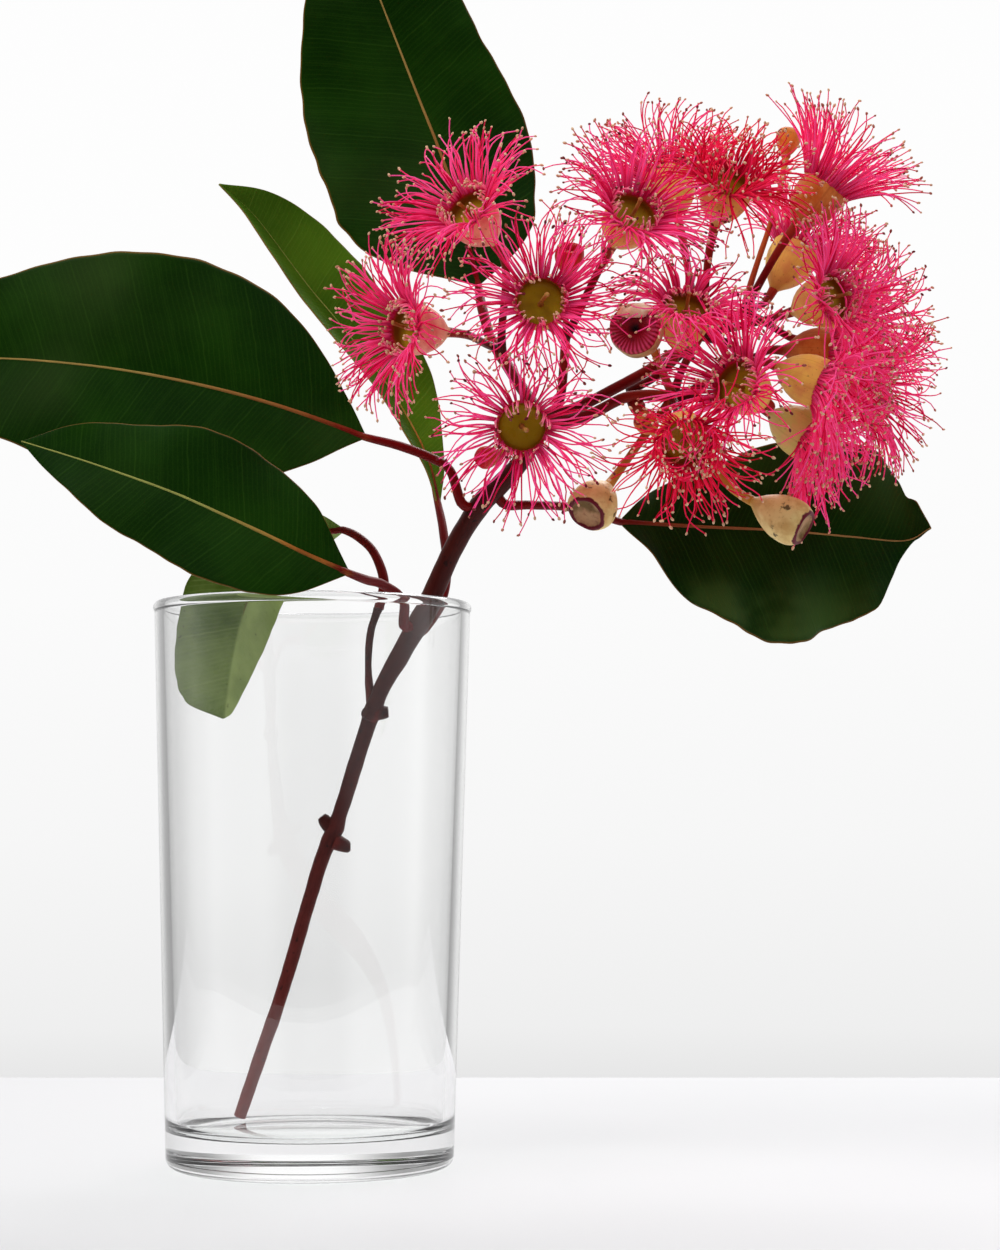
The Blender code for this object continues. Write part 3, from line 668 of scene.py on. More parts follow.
@dataclass(frozen=True)
class GlassFinish(Finish):
    """Clear soda glass with the faint waviness of a pressed tumbler."""

    name: str = "tumbler_glass"
    wave: float = 0.00002
    index: float = 1.6
    clear: tuple[float, ...] = (0.97, 0.98, 0.975, 1)

    def build(self) -> bpy.types.Material:
        """Makes the material, which lets light fall through on what stands in it.

        Returns:
            The material.
        """
        made = super().build()
        sheet, nodes = Sheet(made.node_tree), made.node_tree.nodes
        shadow, diffuse = sheet.rays("Is Shadow Ray", "Is Diffuse Ray")
        solid = Wire(sheet, nodes["Principled BSDF"].outputs[0])
        clear = sheet.node("ShaderNodeBsdfTransparent", values={0: self.clear})
        both = sheet.node("ShaderNodeMixShader", values={0: shadow.most(diffuse), 1: solid, 2: clear})
        sheet.feed(nodes["Material Output"].inputs[0], both)
        return made

    def fill(self, sheet: Sheet) -> dict[str, Any]:
        """Draws the glass.

        Args:
            sheet: The material's sheet.

        Returns:
            The shader's sockets.
        """
        wave = sheet.noise(28, 1)
        tint = sheet.mix(wave.rise(0.3, 0.7), (0.966, 0.968, 0.967), (0.976, 0.978, 0.977))
        return {
            "Base Color": tint,
            "Roughness": 0.0,
            "IOR": self.index,
            "Transmission Weight": 1.0,
            "Normal": sheet.bump(wave, self.wave, 0.5),
        }


@dataclass(frozen=True)
class TableFinish(Finish):
    """A matt, very slightly bluish white table top."""

    name: str = "table_white"
    tone: float = 0.605

    def fill(self, sheet: Sheet) -> dict[str, Any]:
        """Draws the table top.

        Args:
            sheet: The material's sheet.

        Returns:
            The shader's sockets.
        """
        cloud = sheet.noise(6, 4)
        first = (self.tone, self.tone, self.tone * 1.02)
        second = (self.tone * 0.985, self.tone * 0.982, self.tone * 1.01)
        return {"Base Color": sheet.mix(cloud, first, second), "Roughness": 0.55 + cloud * 0.1}


class Finishes(Enum):
    """Every finish of the branch and its tumbler."""

    GLASS = GlassFinish()
    TABLE = TableFinish()
    LEAF = LeafFinish(
        "leaf_skin",
        upper=srgb(9, 40, 0),
        light=srgb(21, 56, 3),
        vein=srgb(54, 92, 22),
        under=srgb(74, 104, 44),
        under_light=srgb(112, 138, 70),
        margin=srgb(116, 84, 34),
    )
    # This leaf has strong painted sheen over the wider half of its blade.
    RIGHT_LEAF = replace(
        LEAF, name="right_leaf_skin", upper=srgb(3, 33, 0), light=srgb(12, 44, 1), painted_sheen=srgb(64, 92, 40), sheen=0.85
    )
    YOUNG_LEAF = LeafFinish(
        "young_leaf_skin",
        upper=srgb(58, 94, 8),
        light=srgb(82, 120, 20),
        vein=srgb(124, 156, 60),
        under=srgb(126, 150, 96),
        under_light=srgb(164, 180, 134),
        margin=srgb(140, 110, 50),
        # The pale green of its painted sheen.
        painted_sheen=srgb(104, 138, 50),
        roughness=0.42,
    )
    HANGING_LEAF = LeafFinish(
        "hanging_leaf_skin",
        upper=srgb(30, 58, 10),
        light=srgb(44, 72, 16),
        vein=srgb(78, 108, 40),
        under=srgb(60, 82, 20),
        under_light=srgb(134, 152, 88),
        margin=srgb(80, 96, 30),
        pale_half=0.5,
        # Painted light: the glow lifts this leaf out of the shade that the leaves above cast on it.
        glow=0.3,
        roughness=0.45,
    )
    STEM = BarkFinish("stem_bark", srgb(112, 40, 36), srgb(72, 22, 18), srgb(64, 16, 10), pores=0.7)
    STALK = BarkFinish("stalk_bark", srgb(72, 12, 12), srgb(112, 14, 18), srgb(160, 50, 34), pores=0.25)
    BUD_STALK = BarkFinish("bud_stalk_bark", srgb(130, 20, 24), srgb(176, 84, 34), srgb(206, 146, 60), pores=0.2)
    RIB = BarkFinish(
        "red_to_orange_rib", srgb(116, 6, 8), srgb(150, 84, 40), srgb(170, 140, 76), turns=(0.22, 0.32, 0.6)
    )
    TAN_RIB = BarkFinish(
        "red_to_tan_rib", srgb(110, 6, 8), srgb(140, 66, 36), srgb(164, 126, 74), turns=(0.3, 0.42, 0.8)
    )
    GREEN_RIB = BarkFinish(
        "orange_to_green_rib", srgb(104, 4, 8), srgb(176, 112, 48), srgb(164, 166, 88), turns=(0.32, 0.42, 0.62)
    )
    HIDDEN_RIB = BarkFinish(
        "hanging_rib", srgb(112, 14, 12), srgb(110, 96, 40), srgb(110, 126, 56), turns=(0.34, 0.44, 0.9)
    )
    CUP_OCHRE = CupFinish("cup_ochre", srgb(226, 186, 88), srgb(214, 150, 84), srgb(176, 116, 50))
    CUP_ORANGE = CupFinish("cup_orange", srgb(176, 86, 34), srgb(204, 130, 64), srgb(126, 44, 18))
    CUP_BLUSH = CupFinish("cup_blush", srgb(236, 160, 136), srgb(226, 110, 110), srgb(206, 140, 84))
    CUP_GREEN = CupFinish("cup_pale_green", srgb(206, 196, 110), srgb(222, 178, 116), srgb(170, 150, 70))
    # Root, thread, painted highlight and tip colours of the threads.
    PINK = StamenFinish("stamen_pink", srgb(146, 0, 34), srgb(242, 0, 84), srgb(255, 92, 164), srgb(255, 160, 184))
    RED = StamenFinish("stamen_red", srgb(140, 0, 16), srgb(216, 0, 48), srgb(250, 52, 106), srgb(246, 140, 140))
    ANTHER = AntherFinish()
    SCRAP = PlainFinish("cap_scrap", srgb(255, 238, 208), srgb(236, 184, 150), roughness=0.6)
    STYLE = PlainFinish("style_tan", srgb(190, 138, 68), srgb(168, 104, 56))
    BUD_CREAM = WornBudFinish(
        "bud_cream",
        body=srgb(244, 216, 146),
        shade=srgb(214, 170, 100),
        foot=srgb(200, 160, 70),
        ring=srgb(104, 12, 34),
        cap=srgb(188, 146, 104),
        cap_spot=srgb(116, 90, 46),
    )
    BUD_ORANGE = WornBudFinish(
        "bud_orange",
        body=srgb(220, 130, 50),
        shade=srgb(200, 60, 44),
        foot=srgb(180, 90, 40),
        ring=srgb(150, 30, 30),
        cap=srgb(220, 140, 60),
        cap_spot=srgb(190, 60, 50),
    )
    BUD_OPEN = OpenedBudFinish(
        "bud_open",
        body=srgb(206, 186, 128),
        shade=srgb(140, 122, 66),
        foot=srgb(170, 150, 80),
        ring=srgb(140, 2, 24),
        cap=srgb(226, 72, 118),
    )
    BUD_RED = OpenedBudFinish(
        "bud_red",
        body=srgb(190, 40, 34),
        shade=srgb(206, 84, 50),
        foot=srgb(170, 80, 40),
        ring=srgb(188, 10, 26),
        cap=srgb(232, 50, 70),
    )

    @property
    def material(self) -> bpy.types.Material:
        """The finish's material, built when it is first asked for."""
        found = bpy.data.materials.get(self.value.name)
        return found or self.value.build()


# Shared mesh work


def smooth_line(points: Sequence[Sequence[float]], spacing: float) -> list[np.ndarray]:
    """Places points along a curve through the given ones.

    Args:
        points: x, y, z and whatever follows them, in millimetres.
        spacing: The distance between the new points.

    Returns:
        The new points.
    """
    knots = [np.array(point, float) for point in points]
    knots = [2 * knots[0] - knots[1], *knots, 2 * knots[-1] - knots[-2]]
    line = [knots[1]]
    for before, start, end, after in zip(knots, knots[1:], knots[2:], knots[3:]):
        slope = end - before
        bend = 2 * before - 5 * start + 4 * end - after
        twist = 3 * start - before - 3 * end + after
        count = max(1, round(float(np.linalg.norm((end - start)[:3])) / spacing))
        for step in range(1, count + 1):
            t = step / count
            line.append(0.5 * (2 * start + slope * t + bend * t**2 + twist * t**3))
    return line


def facing(direction: Sequence[float]) -> Quaternion:
    """The turn that takes +Z to a direction."""
    return Vector(direction).to_track_quat("Z", "Y")


def around(angle: float, radius: float, height: float) -> Vector:
    """The point at an angle and a radius round the Z axis."""
    return Vector((radius * math.cos(angle), radius * math.sin(angle), height))


class Spot(NamedTuple):
    """A spot of a turned skin: its angle, its radius, its height and its share of the section."""

    angle: float
    radius: float
    height: float
    share: float

    def place(self) -> Vector:
        """Where the spot is round the Z axis."""
        return around(self.angle, self.radius, self.height)


@dataclass
class Draft:
    """A mesh in the making: points in millimetres, faces, and numbers kept on points and corners."""

    name: str
    points: list[Vector] = field(default_factory=list)
    faces: list[tuple[int, ...]] = field(default_factory=list)
    finishes: list[int] = field(default_factory=list)
    marks: dict[str, list[float]] = field(default_factory=dict)
    corners: list[list[tuple[float, float]]] = field(default_factory=list)

    def add_points(self, points: Iterable[Vector], **marks: Sequence[float]) -> int:
        """Adds points with their numbers.

        Args:
            points: The places.
            marks: For each name, one number for each point.

        Returns:
            The number of the first point.
        """
        first = len(self.points)
        self.points.extend(points)
        for name in dict.fromkeys((*self.marks, *marks)):
            kept = self.marks.setdefault(name, [0.0] * first)
            kept.extend(marks.get(name, [0.0] * (len(self.points) - first)))
        return first

    def add_face(self, numbers: Sequence[int], corners: Sequence[tuple[float, float]] = (), finish: int = 0) -> None:
        """Adds a face.

        Args:
            numbers: The points round it.
            corners: The places of its corners on the skin map.
            finish: The material's number.
        """
        self.faces.append(tuple(numbers))
        self.corners.append(list(corners) or [(0.0, 0.0)] * len(numbers))
        self.finishes.append(finish)

    def lathe(
        self, profile: Sequence[Sequence[float]], sides: int, place: Callable[[Spot], Vector], finish: int = 0
    ) -> None:
        """Turns a profile that starts and ends on the axis into a closed skin.

        Args:
            profile: Radius and height of each station, the first and last on the axis.
            sides: The number of points round each ring.
            place: Gives the point of a spot.
            finish: The material's number.
        """
        last = len(profile) - 1
        widest = max(radius for radius, _ in profile)
        rings = []
        for number, (radius, height) in enumerate(profile):
            share = number / last
            angles = [0.0] if number in (0, last) else [math.tau * k / sides for k in range(sides)]
            points = [place(Spot(angle, radius, height, share)) for angle in angles]
            marks = {"radius": [radius / widest] * len(points), "station": [share] * len(points)}
            rings.append(self.add_points(points, **marks))
        for number, (a, b) in enumerate(zip(rings, rings[1:])):
            low, high = number / last, (number + 1) / last
            for k in range(sides):
                u, v, after = k / sides, (k + 1) / sides, (k + 1) % sides
                if number == 0:
                    self.add_face((a, b + after, b + k), ((u, low), (v, high), (u, high)), finish)
                elif number == last - 1:
                    self.add_face((a + k, a + after, b), ((u, low), (v, low), (u, high)), finish)
                else:
                    corners = ((u, low), (v, low), (v, high), (u, high))
                    self.add_face((a + k, a + after, b + after, b + k), corners, finish)

    def mesh(self, finishes: Sequence[Finishes]) -> bpy.types.Mesh:
        """Makes the mesh in metres, smooth, with its faces outward.

        Args:
            finishes: The finishes, in the order of their numbers.

        Returns:
            The mesh.
        """
        made = bpy.data.meshes.new(self.name)
        made.from_pydata([tuple(point * MM) for point in self.points], [], self.faces)
        for name, values in self.marks.items():
            made.attributes.new(name, "FLOAT", "POINT").data.foreach_set("value", values)
        flat = [value for corners in self.corners for corner in corners for value in corner]
        made.uv_layers.new(name="skin").data.foreach_set("uv", flat)
        made.polygons.foreach_set("material_index", self.finishes)
        for finish in finishes:
            made.materials.append(finish.material)
        shape = bmesh.new()
        shape.from_mesh(made)
        bmesh.ops.recalc_face_normals(shape, faces=shape.faces)
        shape.to_mesh(made)
        shape.free()
        made.shade_smooth()
        return made


def show(name: str, mesh: bpy.types.Mesh, slot: str, *nodes: str) -> None:
    """Puts a finished mesh in the scene as a piece of the branch.

    Args:
        name: The piece's name.
        mesh: Its mesh, already in place.
        slot: The record's material slot; it is not used.
        nodes: The CAD nodes that it stands for.
    """
    piece = bpy.data.objects.new(name, mesh)
    bpy.context.scene.collection.objects.link(piece)
    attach(piece, BODY)
    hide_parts(*nodes)
    LOG.info("%s: %d faces for %s", name, len(mesh.polygons), ", ".join(nodes))


class Rule(Sheet):
    """A Geometry Nodes tree with named inputs, applied to one object at a time."""

    def __init__(self, name: str, inputs: dict[str, tuple[str, Any]]) -> None:
        """Opens the tree.

        Args:
            name: The tree's name.
            inputs: For each input, its kind of socket and its usual value.
        """
        super().__init__(bpy.data.node_groups.new(name, "GeometryNodeTree"))
        face = self.tree.interface
        face.new_socket("Geometry", in_out="INPUT", socket_type="NodeSocketGeometry")
        for label, (kind, value) in inputs.items():
            socket = face.new_socket(label, in_out="INPUT", socket_type="NodeSocket" + kind)
            if value is not None:
                socket.default_value = value
        face.new_socket("Geometry", in_out="OUTPUT", socket_type="NodeSocketGeometry")

    def given(self, label: str) -> Wire:
        """The wire from a named input."""
        return self.node("NodeGroupInput", out=label)

    def keep(self, geometry: Wire, name: str, value: Any) -> Wire:
        """Stores a number on the geometry's points."""
        values = {"Geometry": geometry, "Name": name, "Value": value}
        return self.node("GeometryNodeStoreNamedAttribute", {"data_type": "FLOAT", "domain": "POINT"}, values)

    def kept(self, name: str) -> Wire:
        """Reads a number that was stored on the points."""
        return self.node("GeometryNodeInputNamedAttribute", {"data_type": "FLOAT"}, {"Name": name})

    def draw(self, low: Any, high: Any, number: Wire, salt: int) -> Wire:
        """A random number that stays the same for one number, seed and salt."""
        values = {2: low, 3: high, 7: number, 8: self.given("Seed") * 101 + salt}
        return self.node("FunctionNodeRandomValue", {"data_type": "FLOAT"}, values, 1)

    def tube(self, line: Wire, profile: Wire, radius: Wire) -> Wire:
        """A round skin along a curve, its ends closed, from the curve, a circle of 1 and the radius."""
        values = {"Curve": line, "Profile Curve": profile, "Scale": radius, "Fill Caps": True}
        return self.node("GeometryNodeCurveToMesh", values=values)

    def circle(self, sides: Any) -> Wire:
        """A circle with a radius of 1."""
        return self.node("GeometryNodeCurvePrimitiveCircle", values={"Resolution": sides, "Radius": 1.0})

    def close(self, geometry: Wire, *finishes: tuple[Wire, Wire | bool]) -> None:
        """Ends the tree in Realize Instances and Set Material.

        Args:
            geometry: What the tree has made.
            finishes: Materials, each with the faces that take it.
        """
        made = self.node("GeometryNodeSetShadeSmooth", values={"Geometry": geometry})
        made = self.node("GeometryNodeRealizeInstances", values={"Geometry": made})
        for finish, faces in finishes:
            made = self.node("GeometryNodeSetMaterial", values={0: made, "Selection": faces, "Material": finish})
        self.node("NodeGroupOutput", values={0: made}, out=None)

    def apply(self, source: bpy.types.Object, name: str, values: dict[str, Any]) -> bpy.types.Mesh:
        """Runs the tree on an object and takes the result as a plain mesh.

        Args:
            source: The object, which is removed afterwards.
            name: The mesh's name.
            values: The inputs that differ from their usual value.

        Returns:
            The mesh.
        """
        bpy.context.scene.collection.objects.link(source)
        modifier = source.modifiers.new("rule", "NODES")
        modifier.node_group = self.tree
        for item in self.tree.interface.items_tree:
            if item.in_out == "INPUT" and item.name in values:
                modifier[item.identifier] = values[item.name]
        evaluated = source.evaluated_get(bpy.context.evaluated_depsgraph_get())
        mesh = bpy.data.meshes.new_from_object(evaluated)
        mesh.name = name
        source.modifiers.clear()
        bpy.data.objects.remove(source)
        return mesh


class SleeveRule(Rule):
    """Grows a round skin along every line of a curve, as thick as the curve's own radius."""

    def __init__(self) -> None:
        """Builds the tree."""
        super().__init__(
            "sleeve",
            {
                "Sides": ("Int", 12),
                "Swelling": ("Float", 0.0001),
                "Lumps": ("Float", 220.0),
                "Seed": ("Int", 1),
                "Finish": ("Material", None),
            },
        )
        share = self.node("GeometryNodeSplineParameter", out="Factor")
        run = self.node("GeometryNodeSplineParameter", out="Length")
        line = self.keep(self.given("Geometry"), "share", share)
        line = self.keep(line, "run", run)
        turn = self.node("GeometryNodeSplineParameter", out="Factor") * math.tau
        profile = self.keep(self.circle(self.given("Sides")), "turn_x", turn.cos())
        profile = self.keep(profile, "turn_y", turn.sin())
        skin = self.tube(line, profile, self.node("GeometryNodeInputRadius"))
        place = self.node("GeometryNodeInputPosition")
        values = {"Vector": place, "W": self.given("Seed"), "Scale": self.given("Lumps"), "Detail": 2.0}
        lumps = self.node("ShaderNodeTexNoise", {"noise_dimensions": "4D"}, values)
        push = self.scaled(self.node("GeometryNodeInputNormal"), (lumps - 0.5) * self.given("Swelling"))
        skin = self.node("GeometryNodeSetPosition", values={"Geometry": skin, "Offset": push})
        self.close(skin, (self.given("Finish"), True))

    def skin(self, name: str, lines: Sequence[Line], finish: Finishes, spacing: float, **values: Any) -> bpy.types.Mesh:
        """Grows sleeves along lines.

        Args:
            name: The mesh's name.
            lines: Lines of x, y, z and radius in millimetres.
            finish: The finish of all of them.
            spacing: The distance between two rings.
            values: Inputs of the tree by name.

        Returns:
            The mesh.
        """
        curve = bpy.data.curves.new(name, "CURVE")
        curve.dimensions = "3D"
        for line in lines:
            points = smooth_line(line, spacing)
            spline = curve.splines.new("POLY")
            spline.points.add(len(points) - 1)
            for point, (x, y, z, radius) in zip(spline.points, points):
                point.co = (x * MM, y * MM, z * MM, 1)
                point.radius = radius * MM
        source = bpy.data.objects.new(name, curve)
        return self.apply(source, name, {"Finish": finish.material, **values})


# The tumbler


@dataclass
class Tumbler:
    """A straight, slightly tapered glass with a thick floor, in millimetres."""

    height: float = 124.0
    base_radius: float = 31.6
    rim_radius: float = 35.2
    wall: float = 2.3
    floor: float = 8.0
    bead: float = 1.3
    base_round: float = 2.4
    inner_round: float = 3.0
    dish: float = 0.25
    sides: int = 144
    wall_shares: tuple[float, ...] = (
        0.002, 0.006, 0.015, 0.04, 0.1, 0.2, 0.35, 0.5, 0.65, 0.8, 0.9, 0.96, 0.985, 0.994, 0.998,
    )
    under: tuple[tuple[float, float], ...] = (
        (0.985, 0.0), (0.97, 0.03), (0.95, 0.12), (0.9, 0.3), (0.8, 0.42), (0.5, 0.5), (0.0, 0.55),
    )

    @staticmethod
    def arc(centre: tuple[float, float], radius: float, start: float, end: float, count: int) -> Line:
        """Points of a round corner, by its angles in degrees."""
        turns = [math.radians(start + (end - start) * i / count) for i in range(count + 1)]
        return [(centre[0] + radius * math.cos(turn), centre[1] + radius * math.sin(turn)) for turn in turns]

    def straight(self, start: Sequence[float], end: Sequence[float]) -> Line:
        """Points of a straight side of the wall, closer at its ends."""
        return [tuple(np.interp(share, (0, 1), pair) for pair in zip(start, end)) for share in self.wall_shares]

    def profile(self) -> Line:
        """Draws the section from the floor's middle over the rim and under the base.

        Returns:
            The radius and height of its points.
        """
        inside = self.base_radius - self.wall
        floor = [(inside * share, self.floor - self.dish * (1 - share**2)) for share in (0.0, 0.3, 0.6, 0.8)]
        floor += self.arc((inside - self.inner_round, self.floor + self.inner_round), self.inner_round, -90, 0, 8)
        rim = self.arc((self.rim_radius - self.wall / 2, self.height - self.bead), self.bead, 220, -40, 16)
        foot = self.arc((self.base_radius - self.base_round, self.base_round), self.base_round, 0, -90, 8)
        walls = self.straight(floor[-1], rim[0]), self.straight(rim[-1], foot[0])
        under = [(foot[-1][0] * share, rise) for share, rise in self.under]
        return [*floor, *walls[0], *rim, *walls[1], *foot, *under]

    def build(self) -> None:
        """Makes the glass."""
        draft = Draft("tumbler")
        draft.lathe(self.profile(), self.sides, Spot.place)
        show("tumbler", draft.mesh([Finishes.GLASS]), "clear_glass", "glass")


# The branch

FORK = (51.3, -27, 161.1)
LEFT_NODE = (39.5, -12.5, 181.5)
FRONT_NODE = (55.8, -27, 178.8)
HUB = (84.7, -25, 179.7)
LOW_HUB = (78.5, -32, 165.5)
FAR_NODE = (95, -13, 187)
RIGHT_NODE = (96, -17, 176)
CUP_LENGTH = 11.3
STEM: Line = [
    (-17.5, 16.5, 8.85, 1.5), (-12.2, 15, 23.8, 1.55), (-7, 13, 38.6, 1.55), (1.4, 7, 65.7, 1.65),
    (5.6, 4, 75.8, 1.7), (14, -3, 101.1, 1.8), (19.7, -8, 111.9, 2.1), (26.3, -13.6, 123.5, 2.3),
    (32, -18, 135.2, 2.2), (37.4, -22, 143.4, 2.2), (41.7, -24, 147.5, 2.2), (46.4, -26, 152.6, 1.9),
    (*FORK, 1.7),
]


@dataclass
class Bloom:
    """One flower: its mouth, the way it faces, where its stalk starts and how its stamens stand.

    The spread holds the angles from the flower's axis, in degrees, at the root and at the tip of the outer
    stamens and then of the inner ones. Ripe goes from 0, cream anthers, to 1, maroon ones.
    """

    name: str
    mouth: tuple[float, ...]
    faces: tuple[float, ...]
    joint: tuple[float, ...]
    spread: tuple[float, ...] = (56, 102, 32, 66)
    droop: tuple[float, ...] = (0, 0, 0)
    length: float = 15.5
    cup: Finishes = Finishes.CUP_OCHRE
    threads: Finishes = Finishes.PINK
    ripe: float = 0.4
    curl_share: float = 0.26
    count: int = 230

    def base(self) -> Vector:
        """Where the cup meets its stalk."""
        return Vector(self.mouth) - Vector(self.faces).normalized() * CUP_LENGTH

    def young(self) -> bool:
        """Whether the stamens still stand curled over the bowl."""
        return self.spread[3] < 0


@dataclass
class Bud:
    """One bud: its middle, where it points, its size and where its stalk leaves the branch."""

    name: str
    middle: tuple[float, ...]
    faces: tuple[float, ...]
    radius: float
    length: float
    joint: tuple[float, ...]
    finish: Finishes
    opened: bool = False
    scrap: bool = False

    def base(self) -> Vector:
        """Where the bud meets its stalk."""
        return Vector(self.middle) - Vector(self.faces).normalized() * self.length / 2


SIDE_SPREAD = (50, 100, 16, 58)
BLOOMS = [
    Bloom("a", (34.9, -38, 204.2), (-0.5, -0.72, 0.48), (42.3, -15.9, 176.6), cup=Finishes.CUP_BLUSH, ripe=0.1),
    Bloom("b", (21.8, -40, 178.6), (-0.8, -0.6, -0.03), (41, -14.4, 178.9), cup=Finishes.CUP_BLUSH, ripe=0.15),
    Bloom("c", (50.1, -50, 182.4), (0, -1, 0.08), FRONT_NODE, ripe=0.55, count=210),
    Bloom("d", (46.2, -50, 156.3), (0, -0.97, -0.2), (51.3, -27.5, 160.5), droop=(0, 0, -1.5), ripe=0.7, count=175),
    Bloom("e", (69.6, -46, 201.7), (0.36, -0.83, 0.43), FRONT_NODE, (60, 116, 32, 66), ripe=0.6, count=250),
    Bloom("f", (90.1, -38, 210.2), (0.2, -0.72, 0.66), HUB, (74, 134, 20, -30), (0, -1, -2.5), 14.5,
          threads=Finishes.RED, ripe=0.3, count=250),
    Bloom("g", (112.8, -18, 213.8), (0.6, -0.1, 0.79), FAR_NODE, (34, 70, 12, 36), length=18,
          cup=Finishes.CUP_ORANGE, ripe=0.45),
    Bloom("h", (80.5, -46, 182.1), (0.15, -0.7, 0.7), (76, -27, 173.4), (64, 124, 32, 66), (0, 0, -2), 13, ripe=0.6,
          count=200),
    Bloom("i", (89.9, -54, 164.5), (-0.6, -0.77, 0.2), LOW_HUB, ripe=0.6),
    Bloom("j", (79.5, -56, 152.1), (0.05, -0.86, -0.5), LOW_HUB, (48, 96, 16, -45), length=14.5,
          threads=Finishes.RED, ripe=0.15),
    Bloom("k", (111.8, -38, 185.6), (0.7, -0.7, 0.15), HUB),
    Bloom("l", (113.4, -26, 175.6), (0.94, -0.3, -0.12), RIGHT_NODE, SIDE_SPREAD, cup=Finishes.CUP_ORANGE),
    Bloom("m", (108, -28, 157), (0.75, -0.35, -0.55), RIGHT_NODE, droop=(0, 0, -2.5), cup=Finishes.CUP_GREEN,
          ripe=0.3),
    Bloom("n", (108.3, -2, 203.3), (0.5, 0.15, 0.85), FAR_NODE, SIDE_SPREAD),
    Bloom("p", (123, -12, 170.5), (0.88, -0.38, -0.28), RIGHT_NODE, SIDE_SPREAD, (0, 0, -1.5), 16.5),
    Bloom("q", (122, -2, 187), (0.88, 0.3, 0.35), FAR_NODE, SIDE_SPREAD, length=16.5, ripe=0.55),
    Bloom("r", (109.5, -38, 166.8), (0.85, -0.3, -0.42), LOW_HUB, SIDE_SPREAD, (0, 0, -4)),
    Bloom("t", (79.6, 0, 220.1), (-0.15, 0.45, 0.88), HUB, SIDE_SPREAD, ripe=0.5),
]

BUDS = [
    Bud("front", (62, -37, 142.6), (-0.45, -0.62, -0.64), 5.2, 12, LOW_HUB, Finishes.BUD_CREAM),
    Bud("right", (100, -40, 139.2), (0.8, -0.35, -0.48), 4.9, 14.5, LOW_HUB, Finishes.BUD_CREAM),
    Bud("open", (70.4, -50, 175.8), (-0.32, -0.94, 0.1), 5.6, 9.5, LOW_HUB, Finishes.BUD_OPEN, opened=True,
        scrap=True),
    Bud("low", (72.6, -41, 158.2), (-0.5, -0.6, 0.5), 2.6, 6, LOW_HUB, Finishes.BUD_ORANGE),
    Bud("red", (56.3, -34, 193.9), (0.1, -0.6, 0.8), 3.1, 7, FRONT_NODE, Finishes.BUD_RED, opened=True),
    Bud("left", (39.4, -38, 151.8), (-0.7, -0.6, -0.3), 2.4, 6, (47, -26.4, 153.6), Finishes.BUD_RED),
    Bud("top", (107, 4, 229), (0.15, 0.2, 0.95), 2.8, 7.5, FAR_NODE, Finishes.BUD_ORANGE),
]


@dataclass
class Stalk:
    """A flower's stalk: out of the branch, then round into line with the flower, with a waist halfway."""

    joint: Sequence[float]
    base: Vector
    faces: Sequence[float]
    radius: float
    neck: float = 1.5
    sunk: float = 0.5
    foot_girth: float = 1.12
    head_girth: float = 1.25
    waist: float = 0.18
    steps: int = 6

    def line(self) -> Line:
        """Draws the stalk.

        Returns:
            Points of x, y, z and radius.
        """
        start, end, along = Vector(self.joint), self.base, Vector(self.faces).normalized()
        reach = (end - start).length
        leave = start.lerp(end, 0.35) + along * reach * 0.05
        neck = end - along * self.neck
        arrive = neck - along * reach * 0.3
        points = []
        for step in range(self.steps + 1):
            t = step / self.steps
            rest = 1 - t
            place = rest**3 * start + 3 * t * rest**2 * leave + 3 * t * t * rest * arrive + t**3 * neck
            points.append((*place, self.radius * (self.foot_girth - self.waist * math.sin(math.pi * t))))
        return [*points, (*(end + along * self.sunk), self.radius * self.head_girth)]


